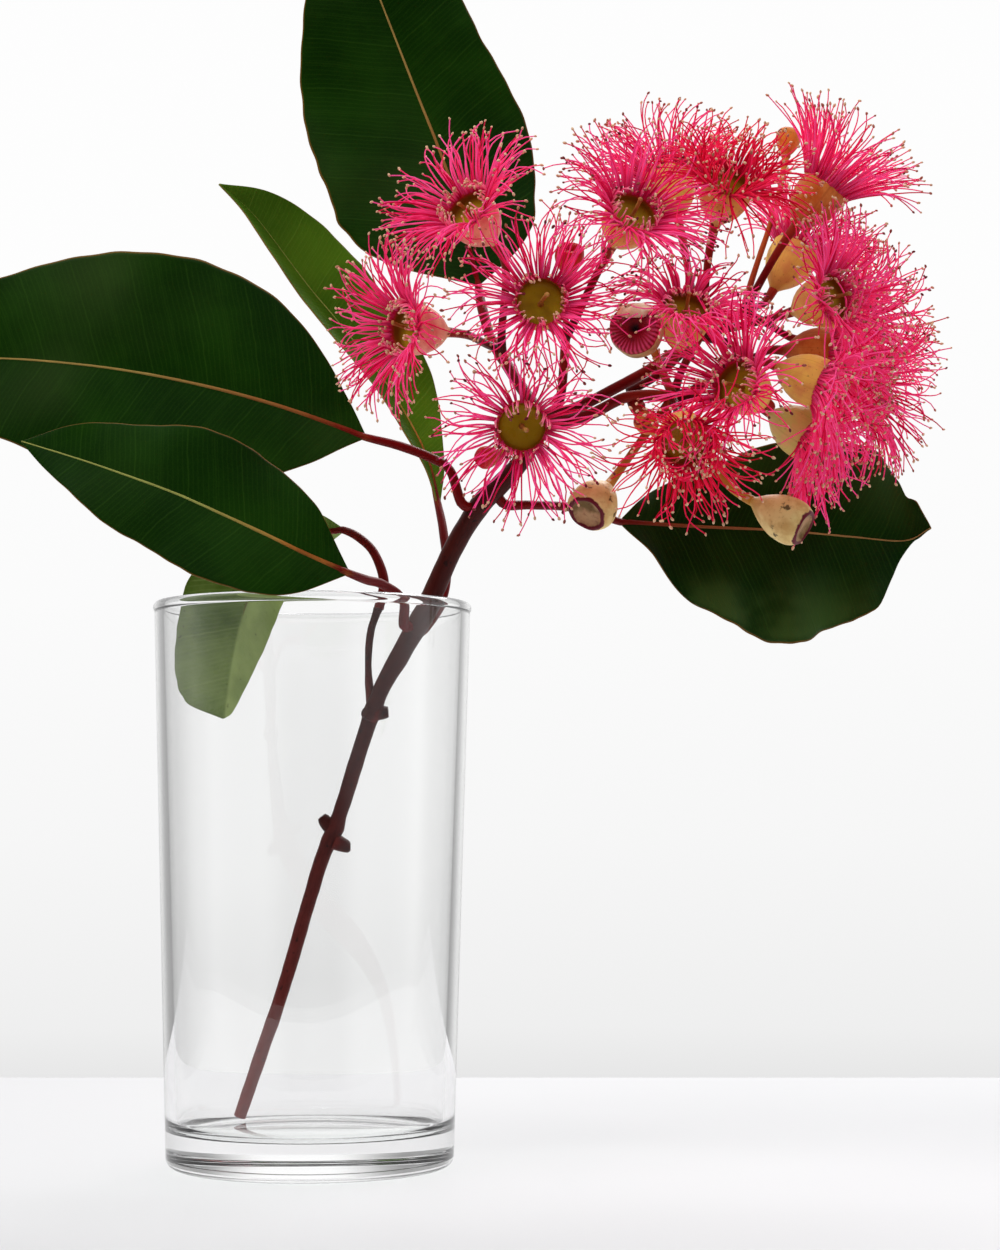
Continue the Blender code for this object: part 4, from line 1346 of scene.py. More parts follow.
@dataclass
class Branch:
    """The cut stem, its stubs and scars, and every stalk down to the flowers.

    Each of the nodes has its height, how much thicker the stem gets there and over what length.
    """

    sleeve: SleeveRule
    pedicel_radius: float = 0.9
    slimmer: float = 0.75
    small_bud: float = 4.0
    slimness: float = 0.98
    swelling: float = 0.55
    nodes: tuple[tuple[float, float, float], ...] = (
        (74.2, 0.75, 1.6), (71.2, 0.5, 1.4), (99.6, 0.55, 1.8), (111.0, 0.2, 2.2), (119, 0.35, 2.6), (143.4, 0.3, 2.6),
        (88.0, 0.12, 1.2), (52.0, 0.08, 1.5), (30.0, 0.08, 1.6),
    )

    def stem(self) -> Line:
        """Draws the stem with a swelling at each of its nodes.

        Returns:
            Points of x, y, z and radius.
        """
        line = []
        for x, y, z, radius in smooth_line(STEM, 1.2):
            swell = sum(more * math.exp(-(((z - height) / width) ** 2)) for height, more, width in self.nodes)
            line.append((x, y, z, radius * self.slimness + swell * self.swelling))
        return line

    @staticmethod
    def stubs() -> list[Line]:
        """Draws what is left of fallen leaves and side shoots.

        Returns:
            Lines of x, y, z and radius.
        """
        return [
            [(5.2, 5, 73.2, 1.9), (3.4, 4.7, 74.6, 1.7), (2.3, 4.3, 75.9, 1.35), (1.9, 4.2, 76.4, 1.0)],
            [(4.9, 5, 70.9, 1.9), (6.6, 4.9, 70.1, 1.6), (7.9, 4.8, 69.7, 1.3), (8.3, 4.8, 69.7, 0.9)],
            [(13.9, -2.6, 99.4, 1.9), (15.6, -2.9, 99.4, 1.6), (16.9, -3, 99.5, 1.2)],
            [(13.6, -2.6, 98.6, 1.8), (12.5, -3.8, 99.1, 1.5), (11.7, -4.5, 99.4, 1.1)],
        ]

    @staticmethod
    def peduncles() -> list[Line]:
        """Draws the stalks that carry the flower stalks.

        Returns:
            Lines of x, y, z and radius.
        """
        return [
            [(*FORK, 1.5), (46, -20, 169.8, 1.3), (*LEFT_NODE, 1.3)],
            [(*FORK, 1.35), (54.5, -27, 165.4, 1.05), (*FRONT_NODE, 1.0)],
            [(*FORK, 1.55), (59.9, -27, 164.6, 1.25), (73.8, -27, 172.1, 1.15), (*HUB, 1.25)],
            [(51.3, -28, 159.6, 1.3), (60.8, -31, 161.7, 1.2), (68.9, -33, 165.2, 1.15), (*LOW_HUB, 1.3)],
            [(68.9, -31, 166.5, 0.95), (76.2, -29, 171.1, 0.85), (*HUB, 0.9)],
            [(*LOW_HUB, 1.1), (80.5, -29, 171.5, 0.85), (*HUB, 1.1)],
            [(*HUB, 1.2), (89.5, -20, 183, 1.1), (*FAR_NODE, 1.2)],
            [(*HUB, 1.1), (91, -22, 178.5, 1.0), (*RIGHT_NODE, 1.15)],
            [(69.4, -31.4, 165.4, 1.2), (70.4, -32, 163.9, 1.7), (71, -32.3, 162.9, 1.75), (71.4, -32.5, 162.1, 1.3),
             (71.5, -32.6, 161.9, 0.5)],
        ]

    def build(self) -> None:
        """Makes the stem, the flower stalks and the bud stalks."""
        twig = [(13.2, -2.4, 99.8, 1.1), (12.5, -3, 108.9, 0.8), (12.9, -3, 116.7, 0.8), (14.3, -3, 121.4, 0.95),
                (14.6, -3, 122.3, 1.1)]
        lines = [self.stem(), *self.stubs(), twig]
        skin = self.sleeve.skin("stem", lines, Finishes.STEM, 0.8, Sides=20, Swelling=0.00035)
        show("stem", skin, "bark", "branch")
        lines = self.peduncles()
        lines += [Stalk(bloom.joint, bloom.base(), bloom.faces, self.pedicel_radius).line() for bloom in BLOOMS]
        skin = self.sleeve.skin("flower_stalks", lines, Finishes.STALK, 0.9, Sides=14, Swelling=0.00022)
        show("flower_stalks", skin, "bark", "branch")
        slim = self.pedicel_radius * self.slimmer
        radii = [self.pedicel_radius if bud.radius > self.small_bud else slim for bud in BUDS]
        lines = [Stalk(bud.joint, bud.base(), bud.faces, radius).line() for bud, radius in zip(BUDS, radii)]
        skin = self.sleeve.skin("bud_stalks", lines, Finishes.BUD_STALK, 0.9, Sides=14, Swelling=0.0002)
        show("bud_stalks", skin, "bark", "branch")


# Leaves


def stem_side(height: float, towards: Sequence[float], sunk: float = 0.9, out: float = 2) -> Line:
    """Where a leaf stalk grows from the stem.

    Args:
        height: The height on the stem.
        towards: The way that the stalk sets off.
        sunk: How deep in the stem's skin the first point lies.
        out: How far out of it the second point lies.

    Returns:
        The two points.
    """
    for (*start, thin), (*end, thick) in zip(STEM, STEM[1:]):
        if start[2] <= height <= end[2]:
            share = (height - start[2]) / (end[2] - start[2])
            along = (Vector(end) - Vector(start)).normalized()
            place = Vector(start).lerp(Vector(end), share)
            radius = thin + (thick - thin) * share
            way = Vector(towards)
            way = (way - along * way.dot(along)).normalized()
            return [tuple(place + way * (radius - sunk)), tuple(place + way * (radius + out))]
    raise ValueError(f"the stem has no height {height}")


@dataclass
class Leaf:
    """One leaf: the lines of its stalk and midrib, the way its blade faces and its half widths.

    Each entry of the widths is a share of the rib's length and the half widths to its left and right there.
    The fold holds the angles, in degrees, by which the two halves rise out of the blade's plane. Beyond the
    steady share of the rib the rows of the blade stay parallel.
    """

    name: str
    stalk: Line
    rib: Line
    faces: tuple[float, ...]
    widths: list[tuple[float, ...]]
    rib_finish: Finishes
    fold: tuple[float, float] = (8, 8)
    droop: float = 0.08
    wave: float = 0.8
    waves: float = 2.5
    steady: float = 1.0
    stalk_radius: float = 1.0
    skin: Finishes = Finishes.LEAF
    slot: str = "leaf"
    thickness: float = 0.5
    thinning: float = 0.45
    raggedness: float = 0.004
    margin_wave: float = 0.12
    full_wave_width: float = 8.0
    least_width: float = 0.12
    rows: int = 120
    columns: int = 44

    def half_widths(self, share: float) -> tuple[float, float]:
        """Reads the blade's half widths off a smooth curve through the stations.

        Args:
            share: The share of the rib's length.

        Returns:
            The half widths to its left and right.
        """
        stations = [(0.0, 0.5, 0.5), *self.widths, (1.0, 0.15, 0.15)]
        shares = np.array([station[0] for station in stations])
        found = []
        for side in (1, 2):
            values = np.array([station[side] for station in stations], float)
            slopes = np.gradient(values, shares)
            slopes[0] = (values[1] - values[0]) / shares[1]
            slopes[-1] = (values[-1] - values[-2]) / (1 - shares[-2])
            k = min(int(np.searchsorted(shares, share, side="right")) - 1, len(shares) - 2)
            gap = shares[k + 1] - shares[k]
            t = (share - shares[k]) / gap
            width = (2 * t**3 - 3 * t**2 + 1) * values[k] + (t**3 - 2 * t**2 + t) * gap * slopes[k]
            width = width + (3 * t**2 - 2 * t**3) * values[k + 1] + (t**3 - t**2) * gap * slopes[k + 1]
            found.append(max(float(width), self.least_width))
        return found[0], found[1]

    def spine(self) -> tuple[list[float], list[Vector], float]:
        """Places the stations along the midrib, closer at its ends.

        Returns:
            Their shares of the rib, their places and the rib's length.
        """
        line = np.array(smooth_line(self.rib, 0.8))
        steps = np.linalg.norm(np.diff(line, axis=0), axis=1)
        along = np.concatenate([[0], np.cumsum(steps)]) / steps.sum()
        shares = [0.5 - 0.5 * math.cos(math.pi * (0.04 + 0.96 * i / self.rows)) for i in range(self.rows + 1)]
        shares = [(share - shares[0]) / (1 - shares[0]) for share in shares]
        shares = [0.6 * share + 0.4 * i / self.rows for i, share in enumerate(shares)]
        places = [Vector([np.interp(share, along, line[:, axis]) for axis in range(3)]) for share in shares]
        return shares, places, float(steps.sum())

    def frames(self) -> list[tuple[float, Vector, Vector, Vector]]:
        """Turns the stations with the rib.

        Returns:
            For each station its share, its place, its sideways and its upward direction.
        """
        shares, spine, _ = self.spine()
        up = Vector(self.faces).normalized()
        found = []
        for i, (share, place) in enumerate(zip(shares, spine)):
            along = (spine[min(i + 1, self.rows)] - spine[max(i - 1, 0)]).normalized()
            if share <= self.steady:
                side = along.cross(up).normalized()
            found.append((share, place, side, side.cross(along).normalized()))
        return found

    def ripple(self, share: float, v: float, phase: float) -> float:
        """Draws how the blade waves and how its margin crinkles.

        Args:
            share: The share of the rib's length.
            v: The place across, from -1 to 1.
            phase: Where the crinkle starts.

        Returns:
            The height over the blade's plane.
        """
        run = math.tau * self.waves * share
        wave = self.wave * v * v * math.sin(run + (2 if v < 0 else 0))
        return wave + self.margin_wave * abs(v) ** 3 * math.sin(run * 2.7 + phase)

    def grid(self) -> tuple[list[list[Vector]], list[float]]:
        """Draws the blade's middle surface.

        Returns:
            Rows of points, and their places across from -1 to 1.
        """
        draw = random.Random(self.name)
        phases = [draw.uniform(0, math.tau) for _ in range(6)]
        half = self.columns // 2
        across = [math.copysign(abs(k / half) ** 0.92, k) if k else 0.0 for k in range(-half, half + 1)]
        rows = []
        for share, place, side, normal in self.frames():
            widths = self.half_widths(share)
            row = []
            for v in across:
                left = v < 0
                width = widths[0 if left else 1]
                ragged = self.raggedness * math.sin(share * 47 + phases[left])
                ragged += self.raggedness * math.sin(share * 83 + phases[2 + left])
                turn = math.radians(self.fold[0 if left else 1])
                out = abs(v) * width
                ripple = self.ripple(share, v, phases[4 + left]) * min(1.0, width / self.full_wave_width)
                lift = out * math.sin(turn) - self.droop * out * abs(v) + ripple
                out *= 1 + ragged * v * v
                row.append(place + side * math.copysign(out * math.cos(turn), v) + normal * lift)
            rows.append(row)
        return rows, across

    def blade(self) -> bpy.types.Mesh:
        """Makes the blade as a closed skin with a rounded margin.

        Returns:
            The mesh.
        """
        rows, across = self.grid()
        shares, _, length = self.spine()
        last_row, last = len(rows) - 1, len(across) - 1
        draft = Draft(self.name + "_blade")
        layers = []
        for sign in (1, -1):
            layer = []
            for i, row in enumerate(rows):
                line = []
                for j, place in enumerate(row):
                    along = rows[min(i + 1, last_row)][j] - rows[max(i - 1, 0)][j]
                    side = row[min(j + 1, last)] - row[max(j - 1, 0)]
                    normal = side.cross(along).normalized()
                    thick = self.thickness / 2 * (1 - self.thinning * abs(across[j]) ** 6) * sign
                    line.append(place + normal * thick)
                widths = self.half_widths(shares[i])
                marks = {
                    "along": [shares[i] * length] * len(row),
                    "across": [v * widths[0 if v < 0 else 1] for v in across],
                    "edge": [max(abs(v), shares[i] ** 40) for v in across],
                    "under": [float(sign < 0)] * len(row),
                }
                layer.append(draft.add_points(line, **marks))
            layers.append(layer)
        top, under = layers
        for i in range(last_row):
            for j in range(last):
                a, b = top[i] + j, top[i + 1] + j
                draft.add_face((a, a + 1, b + 1, b))
                a, b = under[i] + j, under[i + 1] + j
                draft.add_face((a, b, b + 1, a + 1))
            for j in (0, last):
                draft.add_face((top[i] + j, top[i + 1] + j, under[i + 1] + j, under[i] + j))
        for i in (0, last_row):
            for j in range(last):
                draft.add_face((top[i] + j, under[i] + j, under[i] + j + 1, top[i] + j + 1))
        return draft.mesh([self.skin])

    def midrib(self) -> Line:
        """Draws the stalk and the rib that it runs on as.

        Returns:
            Points of x, y, z and radius.
        """
        foot, rest = self.stalk[:2], self.stalk[2:-1]
        line = [(*place, self.stalk_radius * 1.12) for place in foot] + [(*place, self.stalk_radius) for place in rest]
        for share, place, _, normal in self.frames()[:: self.rows // 20]:
            radius = self.stalk_radius * (0.84 - 0.68 * share**0.5)
            rise = (self.thickness / 2 - radius * 0.5) * min(1.0, share * 12)
            line.append((*(place + normal * rise), radius))
        return line

    def build(self, sleeve: SleeveRule) -> None:
        """Makes the blade and its rib.

        Args:
            sleeve: The rule that grows the rib's skin.
        """
        show(self.name + "_blade", self.blade(), self.slot, self.name)
        skin = sleeve.skin(self.name + "_midrib", [self.midrib()], self.rib_finish, 1.0, Sides=12, Swelling=0.00012)
        show(self.name + "_midrib", skin, self.slot, self.name)


LEAVES = [
    Leaf(
        "leaf_left",
        [*stem_side(142.5, (-0.7, -0.5, 0.4)), (31, -25, 150.5), (27, -24, 153.3), (20.1, -22, 156.2),
         (12.5, -21, 158.3)],
        [(12.5, -21, 158.3), (4.9, -20, 161.3), (-6, -19, 165.2), (-19, -18, 169), (-34.6, -17, 172.5),
         (-50, -16, 174.9), (-67.7, -15, 176.4), (-82, -13, 176.2), (-94, -10, 178.5)],
        (0.03, -0.98, 0.18),
        [(0.07, 9, 7.6), (0.14, 15.3, 14.4), (0.23, 19.5, 22), (0.365, 22.5, 27.4), (0.5, 24.4, 27.4),
         (0.64, 21.8, 24.4), (0.755, 17.8, 19.4), (0.875, 10.6, 11.4)],
        Finishes.RIB,
    ),
    Leaf(
        "leaf_front",
        [*stem_side(118, (-0.5, -0.85, 0.2)), (20.5, -22, 123.2), (16.7, -28.5, 125.7), (13.6, -33.5, 126.2),
         (10, -39, 127.2)],
        [(10, -39, 127.2), (0.7, -41, 131.2), (-6, -42, 134.4), (-15.8, -43, 138.9), (-25.6, -44, 143.2),
         (-35.6, -44, 146.9), (-45.5, -43, 150.4), (-58.2, -40, 154.6)],
        (-0.05, -0.93, 0.35),
        [(0.07, 6, 5.2), (0.144, 10.6, 9.8), (0.245, 13.7, 13.4), (0.394, 15.5, 16), (0.542, 13.6, 15.5),
         (0.687, 11.7, 12.3), (0.827, 7, 8.6), (0.917, 3.7, 4.8)],
        Finishes.GREEN_RIB,
    ),
    Leaf(
        "leaf_top",
        [(39.3, -12.2, 182.2), (37.6, -7.5, 189.6), (36.8, -2, 195.3)],
        [(36.8, -2, 195.3), (32.2, 3, 214.6), (28.1, 5, 227.1), (23.7, 6, 238.5), (20, 6, 248),
         (14.3, 5, 262.6), (8.6, 3, 277.1), (4.2, 0, 287.7)],
        (0.1, -0.98, 0.1),
        [(0.055, 13.9, 9.4), (0.11, 21.9, 14.8), (0.195, 27, 17.9), (0.32, 28, 21), (0.44, 28, 20.3),
         (0.545, 26.2, 18.8), (0.705, 20.2, 17.2), (0.865, 11.2, 10.6), (0.95, 4.9, 4.9)],
        Finishes.RIB,
    ),
    Leaf(
        "leaf_small",
        [*stem_side(117, (0.6, 0.8, 0.3)), (28.8, -5.5, 124), (29.9, -1.5, 131.2), (28.9, 4, 140.8),
         (27.7, 8, 146.9)],
        [(27.7, 8, 146.9), (24.6, 13, 159), (16.3, 17, 174.6), (4.6, 19, 190.1), (-3.3, 19, 199.7),
         (-15, 16, 214.8), (-22.9, 12, 221.6)],
        (0.15, -0.98, 0),
        [(0.06, 2.2, 2.2), (0.14, 5, 4.4), (0.33, 8, 10.6), (0.52, 9, 12.4), (0.66, 8.6, 13),
         (0.86, 5.5, 8.5)],
        Finishes.GREEN_RIB,
        fold=(62, 6),
        skin=Finishes.YOUNG_LEAF,
        slot="young_leaf",
    ),
    Leaf(
        "leaf_right",
        [*stem_side(146, (0.7, 0.3, -0.6)), (48.6, -20.5, 143.6), (58.1, -14, 143.7), (68.2, -8, 141.3)],
        [(68.2, -8, 141.3), (86.2, -2, 140.8), (104.4, 2, 140.4), (120.4, 4, 139.2), (132.7, 4, 138.3),
         (138.3, 2, 141)],
        (0.05, -0.97, 0.2),
        [(0.077, 6, 6.6), (0.25, 12.6, 19.6), (0.404, 17.7, 24.8), (0.57, 21, 26.9), (0.615, 21.3, 25.5),
         (0.66, 21.4, 22.9), (0.71, 21.3, 21.1), (0.765, 21.1, 19.8), (0.81, 20.5, 18.4), (0.843, 18.2, 15.5),
         (0.867, 16.3, 9.8), (0.889, 14.2, 5.3), (0.91, 10.8, 2.6), (0.935, 9.2, 0.7), (0.96, 7.1, 0.5),
         (0.98, 3.8, 0.3)],
        Finishes.TAN_RIB,
        wave=1.8,
        waves=4,
        steady=0.88,
        skin=Finishes.RIGHT_LEAF,
    ),
    Leaf(
        "leaf_hanging",
        [(14.75, -3, 122.3), (15.9, -2.2, 128.6), (13.6, 0, 135.2), (9.9, 2, 139), (6.4, 4, 140.8)],
        [(6.4, 4, 140.8), (-1.2, 6, 139.9), (-9.2, 8, 135.5), (-15.5, 9, 125.4), (-18.6, 7, 112.8),
         (-20.3, 4, 98.3)],
        (-0.3, 0.85, 0.25),
        [(0.08, 4, 4), (0.2, 8, 8), (0.36, 12, 11), (0.53, 14.4, 12), (0.69, 14.2, 9.5), (0.8, 13.4, 7.2),
         (0.88, 12.3, 5.2), (0.94, 10.4, 3.4), (0.98, 6.8, 1.8)],
        Finishes.HIDDEN_RIB,
        fold=(10, 34),
        wave=0.6,
        skin=Finishes.HANGING_LEAF,
    ),
]


# Flowers


@dataclass
class Cup:
    """The urn under one flower's stamens, with its nectar bowl and its style."""

    bloom: Bloom
    sides: int = 48
    profile: tuple[tuple[float, float], ...] = (
        (0, -0.1), (0.6, -0.1), (1.05, 0.25), (1.35, 0.8), (2.15, 1.7), (3.35, 3.0), (4.3, 4.4), (5.0, 6.0),
        (5.4, 7.6), (5.5, 8.8), (5.5, 10.0), (5.5, 10.9), (5.45, 11.35), (5.25, 11.55), (5.0, 11.4), (4.9, 11.0),
        (4.8, 10.3), (4.6, 9.6), (4.1, 9.0), (2.8, 8.7), (1.4, 8.65), (0.6, 8.9), (0, 9.0),
    )
    opening: float = 0.55
    ribs: int = 8
    rib_depth: float = 0.012
    oval: float = 0.02
    style_foot: float = 8.5
    style_length: float = 6.6

    def build(self) -> None:
        """Makes the cup and the style."""
        turn, base = facing(self.bloom.faces), self.bloom.base()
        draw = random.Random("cup " + self.bloom.name)
        lean, phase = draw.uniform(-0.5, 0.5), draw.uniform(0, math.tau)
        bend, swing = draw.uniform(0.6, 1.6), draw.uniform(0, math.tau)
        draft = Draft("cup_" + self.bloom.name)

        def urn(spot: Spot) -> Vector:
            """Places a spot of the cup, faintly ribbed and a little out of round.

            Args:
                spot: The spot.

            Returns:
                The point.
            """
            if spot.share < self.opening:
                ribbed = self.rib_depth * math.cos(self.ribs * spot.angle + phase)
                girth = 1 + ribbed + self.oval * math.cos(2 * spot.angle + phase)
                spot = spot._replace(radius=spot.radius * girth)
            return base + turn @ (spot.place() + Vector((lean * 0.1 * spot.height / CUP_LENGTH, 0, 0)))

        def style(spot: Spot) -> Vector:
            """Places a spot of the bent style.

            Args:
                spot: The spot.

            Returns:
                The point.
            """
            share = max(0.0, (spot.height - self.style_foot) / self.style_length)
            return base + turn @ (spot.place() + around(swing, bend * share**2, 0))

        top = self.style_foot + self.style_length
        stem = [(0, 8.4), (0.75, 8.5), (0.6, 9.2), (0.45, 10.4), (0.4, 12), (0.4, top - 1.2), (0.45, top - 0.5),
                (0.55, top - 0.25), (0.4, top), (0, top + 0.05)]
        draft.lathe(self.profile, self.sides, urn)
        draft.lathe(stem, 10, style, 1)
        mesh = draft.mesh([self.bloom.cup, Finishes.STYLE])
        show("cup_skin_" + self.bloom.name, mesh, "cup", "cup_" + self.bloom.name)


class CrownRule(Rule):
    """Raises a flower's stamens from the ring of its cup: threads by angle and length, an anther on each.

    Every number that a stamen draws has a salt of its own, which is the last argument of the draw.
    """

    BEADS = 5.0
    GOLDEN = math.pi * (3 - math.sqrt(5))
    DEGREE = math.pi / 180

    def __init__(self) -> None:
        """Builds the tree."""
        super().__init__(
            "crown",
            {
                "Count": ("Int", 230),
                "Steps": ("Int", 10),
                "Sides": ("Int", 5),
                "Seed": ("Int", 1),
                "Length": ("Float", 0.0155),
                "Outer Root": ("Float", 50.0),
                "Outer Tip": ("Float", 102.0),
                "Inner Root": ("Float", 16.0),
                "Inner Tip": ("Float", 58.0),
                "Curl Share": ("Float", 0.2),
                "Curl Length": ("Float", 0.0034),
                "Ring Inner": ("Float", 0.0049),
                "Ring Outer": ("Float", 0.0055),
                "Ring Height": ("Float", 0.0113),
                "Pull": ("Vector", (0, 0, 0)),
                "Thread": ("Float", 0.000175),
                "Anther": ("Float", 0.00029),
                "Ripe": ("Float", 0.4),
                "Thread Finish": ("Material", None),
                "Anther Finish": ("Material", None),
            },
        )
        self.index = self.node("GeometryNodeInputIndex")
        threads = self.threads()
        anthers = self.anthers()
        joined = self.node("GeometryNodeJoinGeometry", values={0: [threads, anthers]})
        pollen = self.kept("pollen").above(0.5)
        self.close(joined, (self.given("Thread Finish"), True), (self.given("Anther Finish"), pollen))

    def group(self, size: Any) -> tuple[Wire, Wire]:
        """Counts the points off in groups of one size.

        Args:
            size: The number of points in a group.

        Returns:
            The number of a point's group, and how far along the group it is, from 0 to 1.
        """
        number = ((self.index + 0.5) / size).floor()
        return number, (self.index - number * size) / (size - 1)

    def threads(self) -> Wire:
        """Makes the filaments.

        Returns:
            The mesh.
        """
        stamen, share = self.group(self.given("Steps"))
        points = self.rows(stamen, share, self.given("Count") * self.given("Steps"))
        girth = self.given("Thread") * (1.3 - share * 0.6)
        made = self.string(points, stamen, share, self.thread(stamen, share), self.given("Sides"), girth)
        return self.keep(made, "pollen", 0.0)

    def anthers(self) -> Wire:
        """Makes the anthers, each a short string of beads at its stamen's tip.

        Returns:
            The mesh.
        """
        stamen, share = self.group(self.BEADS)
        tip = self.thread(stamen, 1.0)
        along = self.vector("NORMALIZE", self.vector("SUBTRACT", tip, self.thread(stamen, 0.93)))
        tumble = self.combine(*(self.draw(-1, 1, stamen, salt) for salt in (31, 32, 33)))
        lean = self.vector("NORMALIZE", self.vector("ADD", along, self.scaled(tumble, 0.75)))
        size = self.given("Anther") * self.draw(0.8, 1.15, stamen, 34)
        place = self.vector("ADD", tip, self.scaled(lean, (share - 0.4) * 3.0 * size))
        girth = (1 - ((share - 0.5) * 2) ** 2 * 0.94) ** 0.5 * size
        points = self.rows(stamen, share, self.given("Count") * self.BEADS)
        return self.keep(self.string(points, stamen, share, place, 5, girth), "pollen", 1.0)

    def rows(self, stamen: Wire, share: Wire, count: Wire) -> Wire:
        """Makes loose points with what the finishes need to know of each stamen.

        Args:
            stamen: The number of the stamen that a point belongs to.
            share: How far along it the point is.
            count: The number of points.

        Returns:
            The points.
        """
        points = self.node("GeometryNodePoints", values={"Count": count})
        points = self.keep(points, "along", share)
        # shade: a random value for each stamen that sets its painted highlight and painted shade.
        points = self.keep(points, "shade", self.draw(0, 1, stamen, 21))
        points = self.keep(points, "curled", self.curled(stamen))
        ripe = self.given("Ripe") * 0.9 - 0.1 + self.draw(-0.45, 0.45, stamen, 22)
        return self.keep(points, "ripe", ripe)

    def curled(self, stamen: Wire) -> Wire:
        """1 where the stamen belongs to the short inmost ones that curl over the bowl, 0 elsewhere."""
        return self.draw(0, 1, stamen, 2).below(self.given("Curl Share"))

    def string(self, points: Wire, group: Wire, weight: Wire, place: Wire, sides: Any, radius: Wire) -> Wire:
        """Strings points into lines and gives them a round skin.

        Args:
            points: The loose points.
            group: The number of the line that a point belongs to.
            weight: Its order on that line.
            place: Its place.
            sides: How many sides the skin has.
            radius: The skin's radius.

        Returns:
            The mesh.
        """
        points = self.keep(points, "girth", radius)
        points = self.node("GeometryNodeSetPosition", values={"Geometry": points, "Position": place})
        values = {"Points": points, "Curve Group ID": group, "Weight": weight}
        lines = self.node("GeometryNodePointsToCurves", values=values)
        return self.tube(lines, self.circle(sides), self.kept("girth"))

    @staticmethod
    def between(first: Any, last: Any, share: Wire) -> Wire:
        """The number that lies a share of the way from one to another."""
        return first + (last - first) * share

    def wobble(self, size: float, turns: tuple[float, float], stamen: Wire, share: Any, salt: int) -> Wire:
        """A sideways wave along a stamen's thread, from its size in metres and its turns in radians."""
        wave = (self.draw(*turns, stamen, salt + 1) * share).sin()
        return self.draw(-size, size, stamen, salt) * wave * share

    def thread(self, stamen: Wire, share: Any) -> Wire:
        """The place on a stamen's thread.

        Args:
            stamen: The stamen's number.
            share: How far along it, from 0 to 1.

        Returns:
            The place in the flower's own frame.
        """
        inward = self.draw(0, 1, stamen, 1)
        curled = self.curled(stamen)
        azimuth = stamen * self.GOLDEN + self.draw(-0.12, 0.12, stamen, 3)
        first = self.between(self.given("Outer Root"), self.given("Inner Root"), inward)
        last = self.between(self.given("Outer Tip"), self.given("Inner Tip"), inward) + self.draw(-26, 22, stamen, 4)
        first = self.between(first, 24, curled) + self.draw(-4, 4, stamen, 6)
        last = self.between(last, self.draw(-80, 0, stamen, 5), curled)
        first, last = first * self.DEGREE, last * self.DEGREE
        bend = last - first
        now = first + bend * share
        length = self.given("Length") * self.draw(0.78, 1.1, stamen, 7) * (1 - inward * 0.07)
        length = self.between(length, self.given("Curl Length") * self.draw(0.6, 1.25, stamen, 8), curled)
        out = (first.cos() - now.cos()) / bend * length
        up = (now.sin() - first.sin()) / bend * length
        ring = self.between(self.given("Ring Outer"), self.given("Ring Inner"), inward)
        turned = azimuth + self.draw(-0.42, 0.42, stamen, 9) * share * share
        loose = 1 - curled * 0.8
        sway = self.draw(-0.0016, 0.0016, stamen, 10) * share * share
        sway = (sway + self.wobble(0.0009, (4, 9), stamen, share, 11)) * loose
        hook = self.draw(-0.0014, 0.0008, stamen, 13) * share * share * share * share
        hook = (hook + self.wobble(0.0008, (4, 8), stamen, share, 14)) * loose
        x = turned.cos() * out + azimuth.cos() * ring - turned.sin() * sway
        y = turned.sin() * out + azimuth.sin() * ring + turned.cos() * sway
        place = self.combine(x, y, up + self.given("Ring Height") + hook)
        return self.vector("ADD", place, self.scaled(self.given("Pull"), share * share))


@dataclass
class Crown:
    """All stamens of one flower."""

    bloom: Bloom
    young_curl_share: float = 0.1

    def build(self, rule: CrownRule) -> None:
        """Makes the crown with its rule and turns it into place.

        Args:
            rule: The rule.
        """
        bloom = self.bloom
        turn = facing(bloom.faces)
        pull = turn.inverted() @ Vector(bloom.droop) * MM
        angles = ("Outer Root", "Outer Tip", "Inner Root", "Inner Tip")
        values = {
            "Count": bloom.count,
            "Seed": 1 + BLOOMS.index(bloom),
            "Length": bloom.length * MM,
            **{label: float(angle) for label, angle in zip(angles, bloom.spread)},
            "Curl Share": self.young_curl_share if bloom.young() else bloom.curl_share,
            "Pull": tuple(pull),
            "Ripe": bloom.ripe,
            "Thread Finish": bloom.threads.material,
            "Anther Finish": Finishes.ANTHER.material,
        }
        name = "crown_" + bloom.name
        source = bpy.data.objects.new(name, bpy.data.meshes.new(name))
        mesh = rule.apply(source, name, values)
        matrix = turn.to_matrix().to_4x4()
        matrix.translation = bloom.base() * MM
        mesh.transform(matrix)
        show(name, mesh, "stamens", "stamens_" + bloom.name)


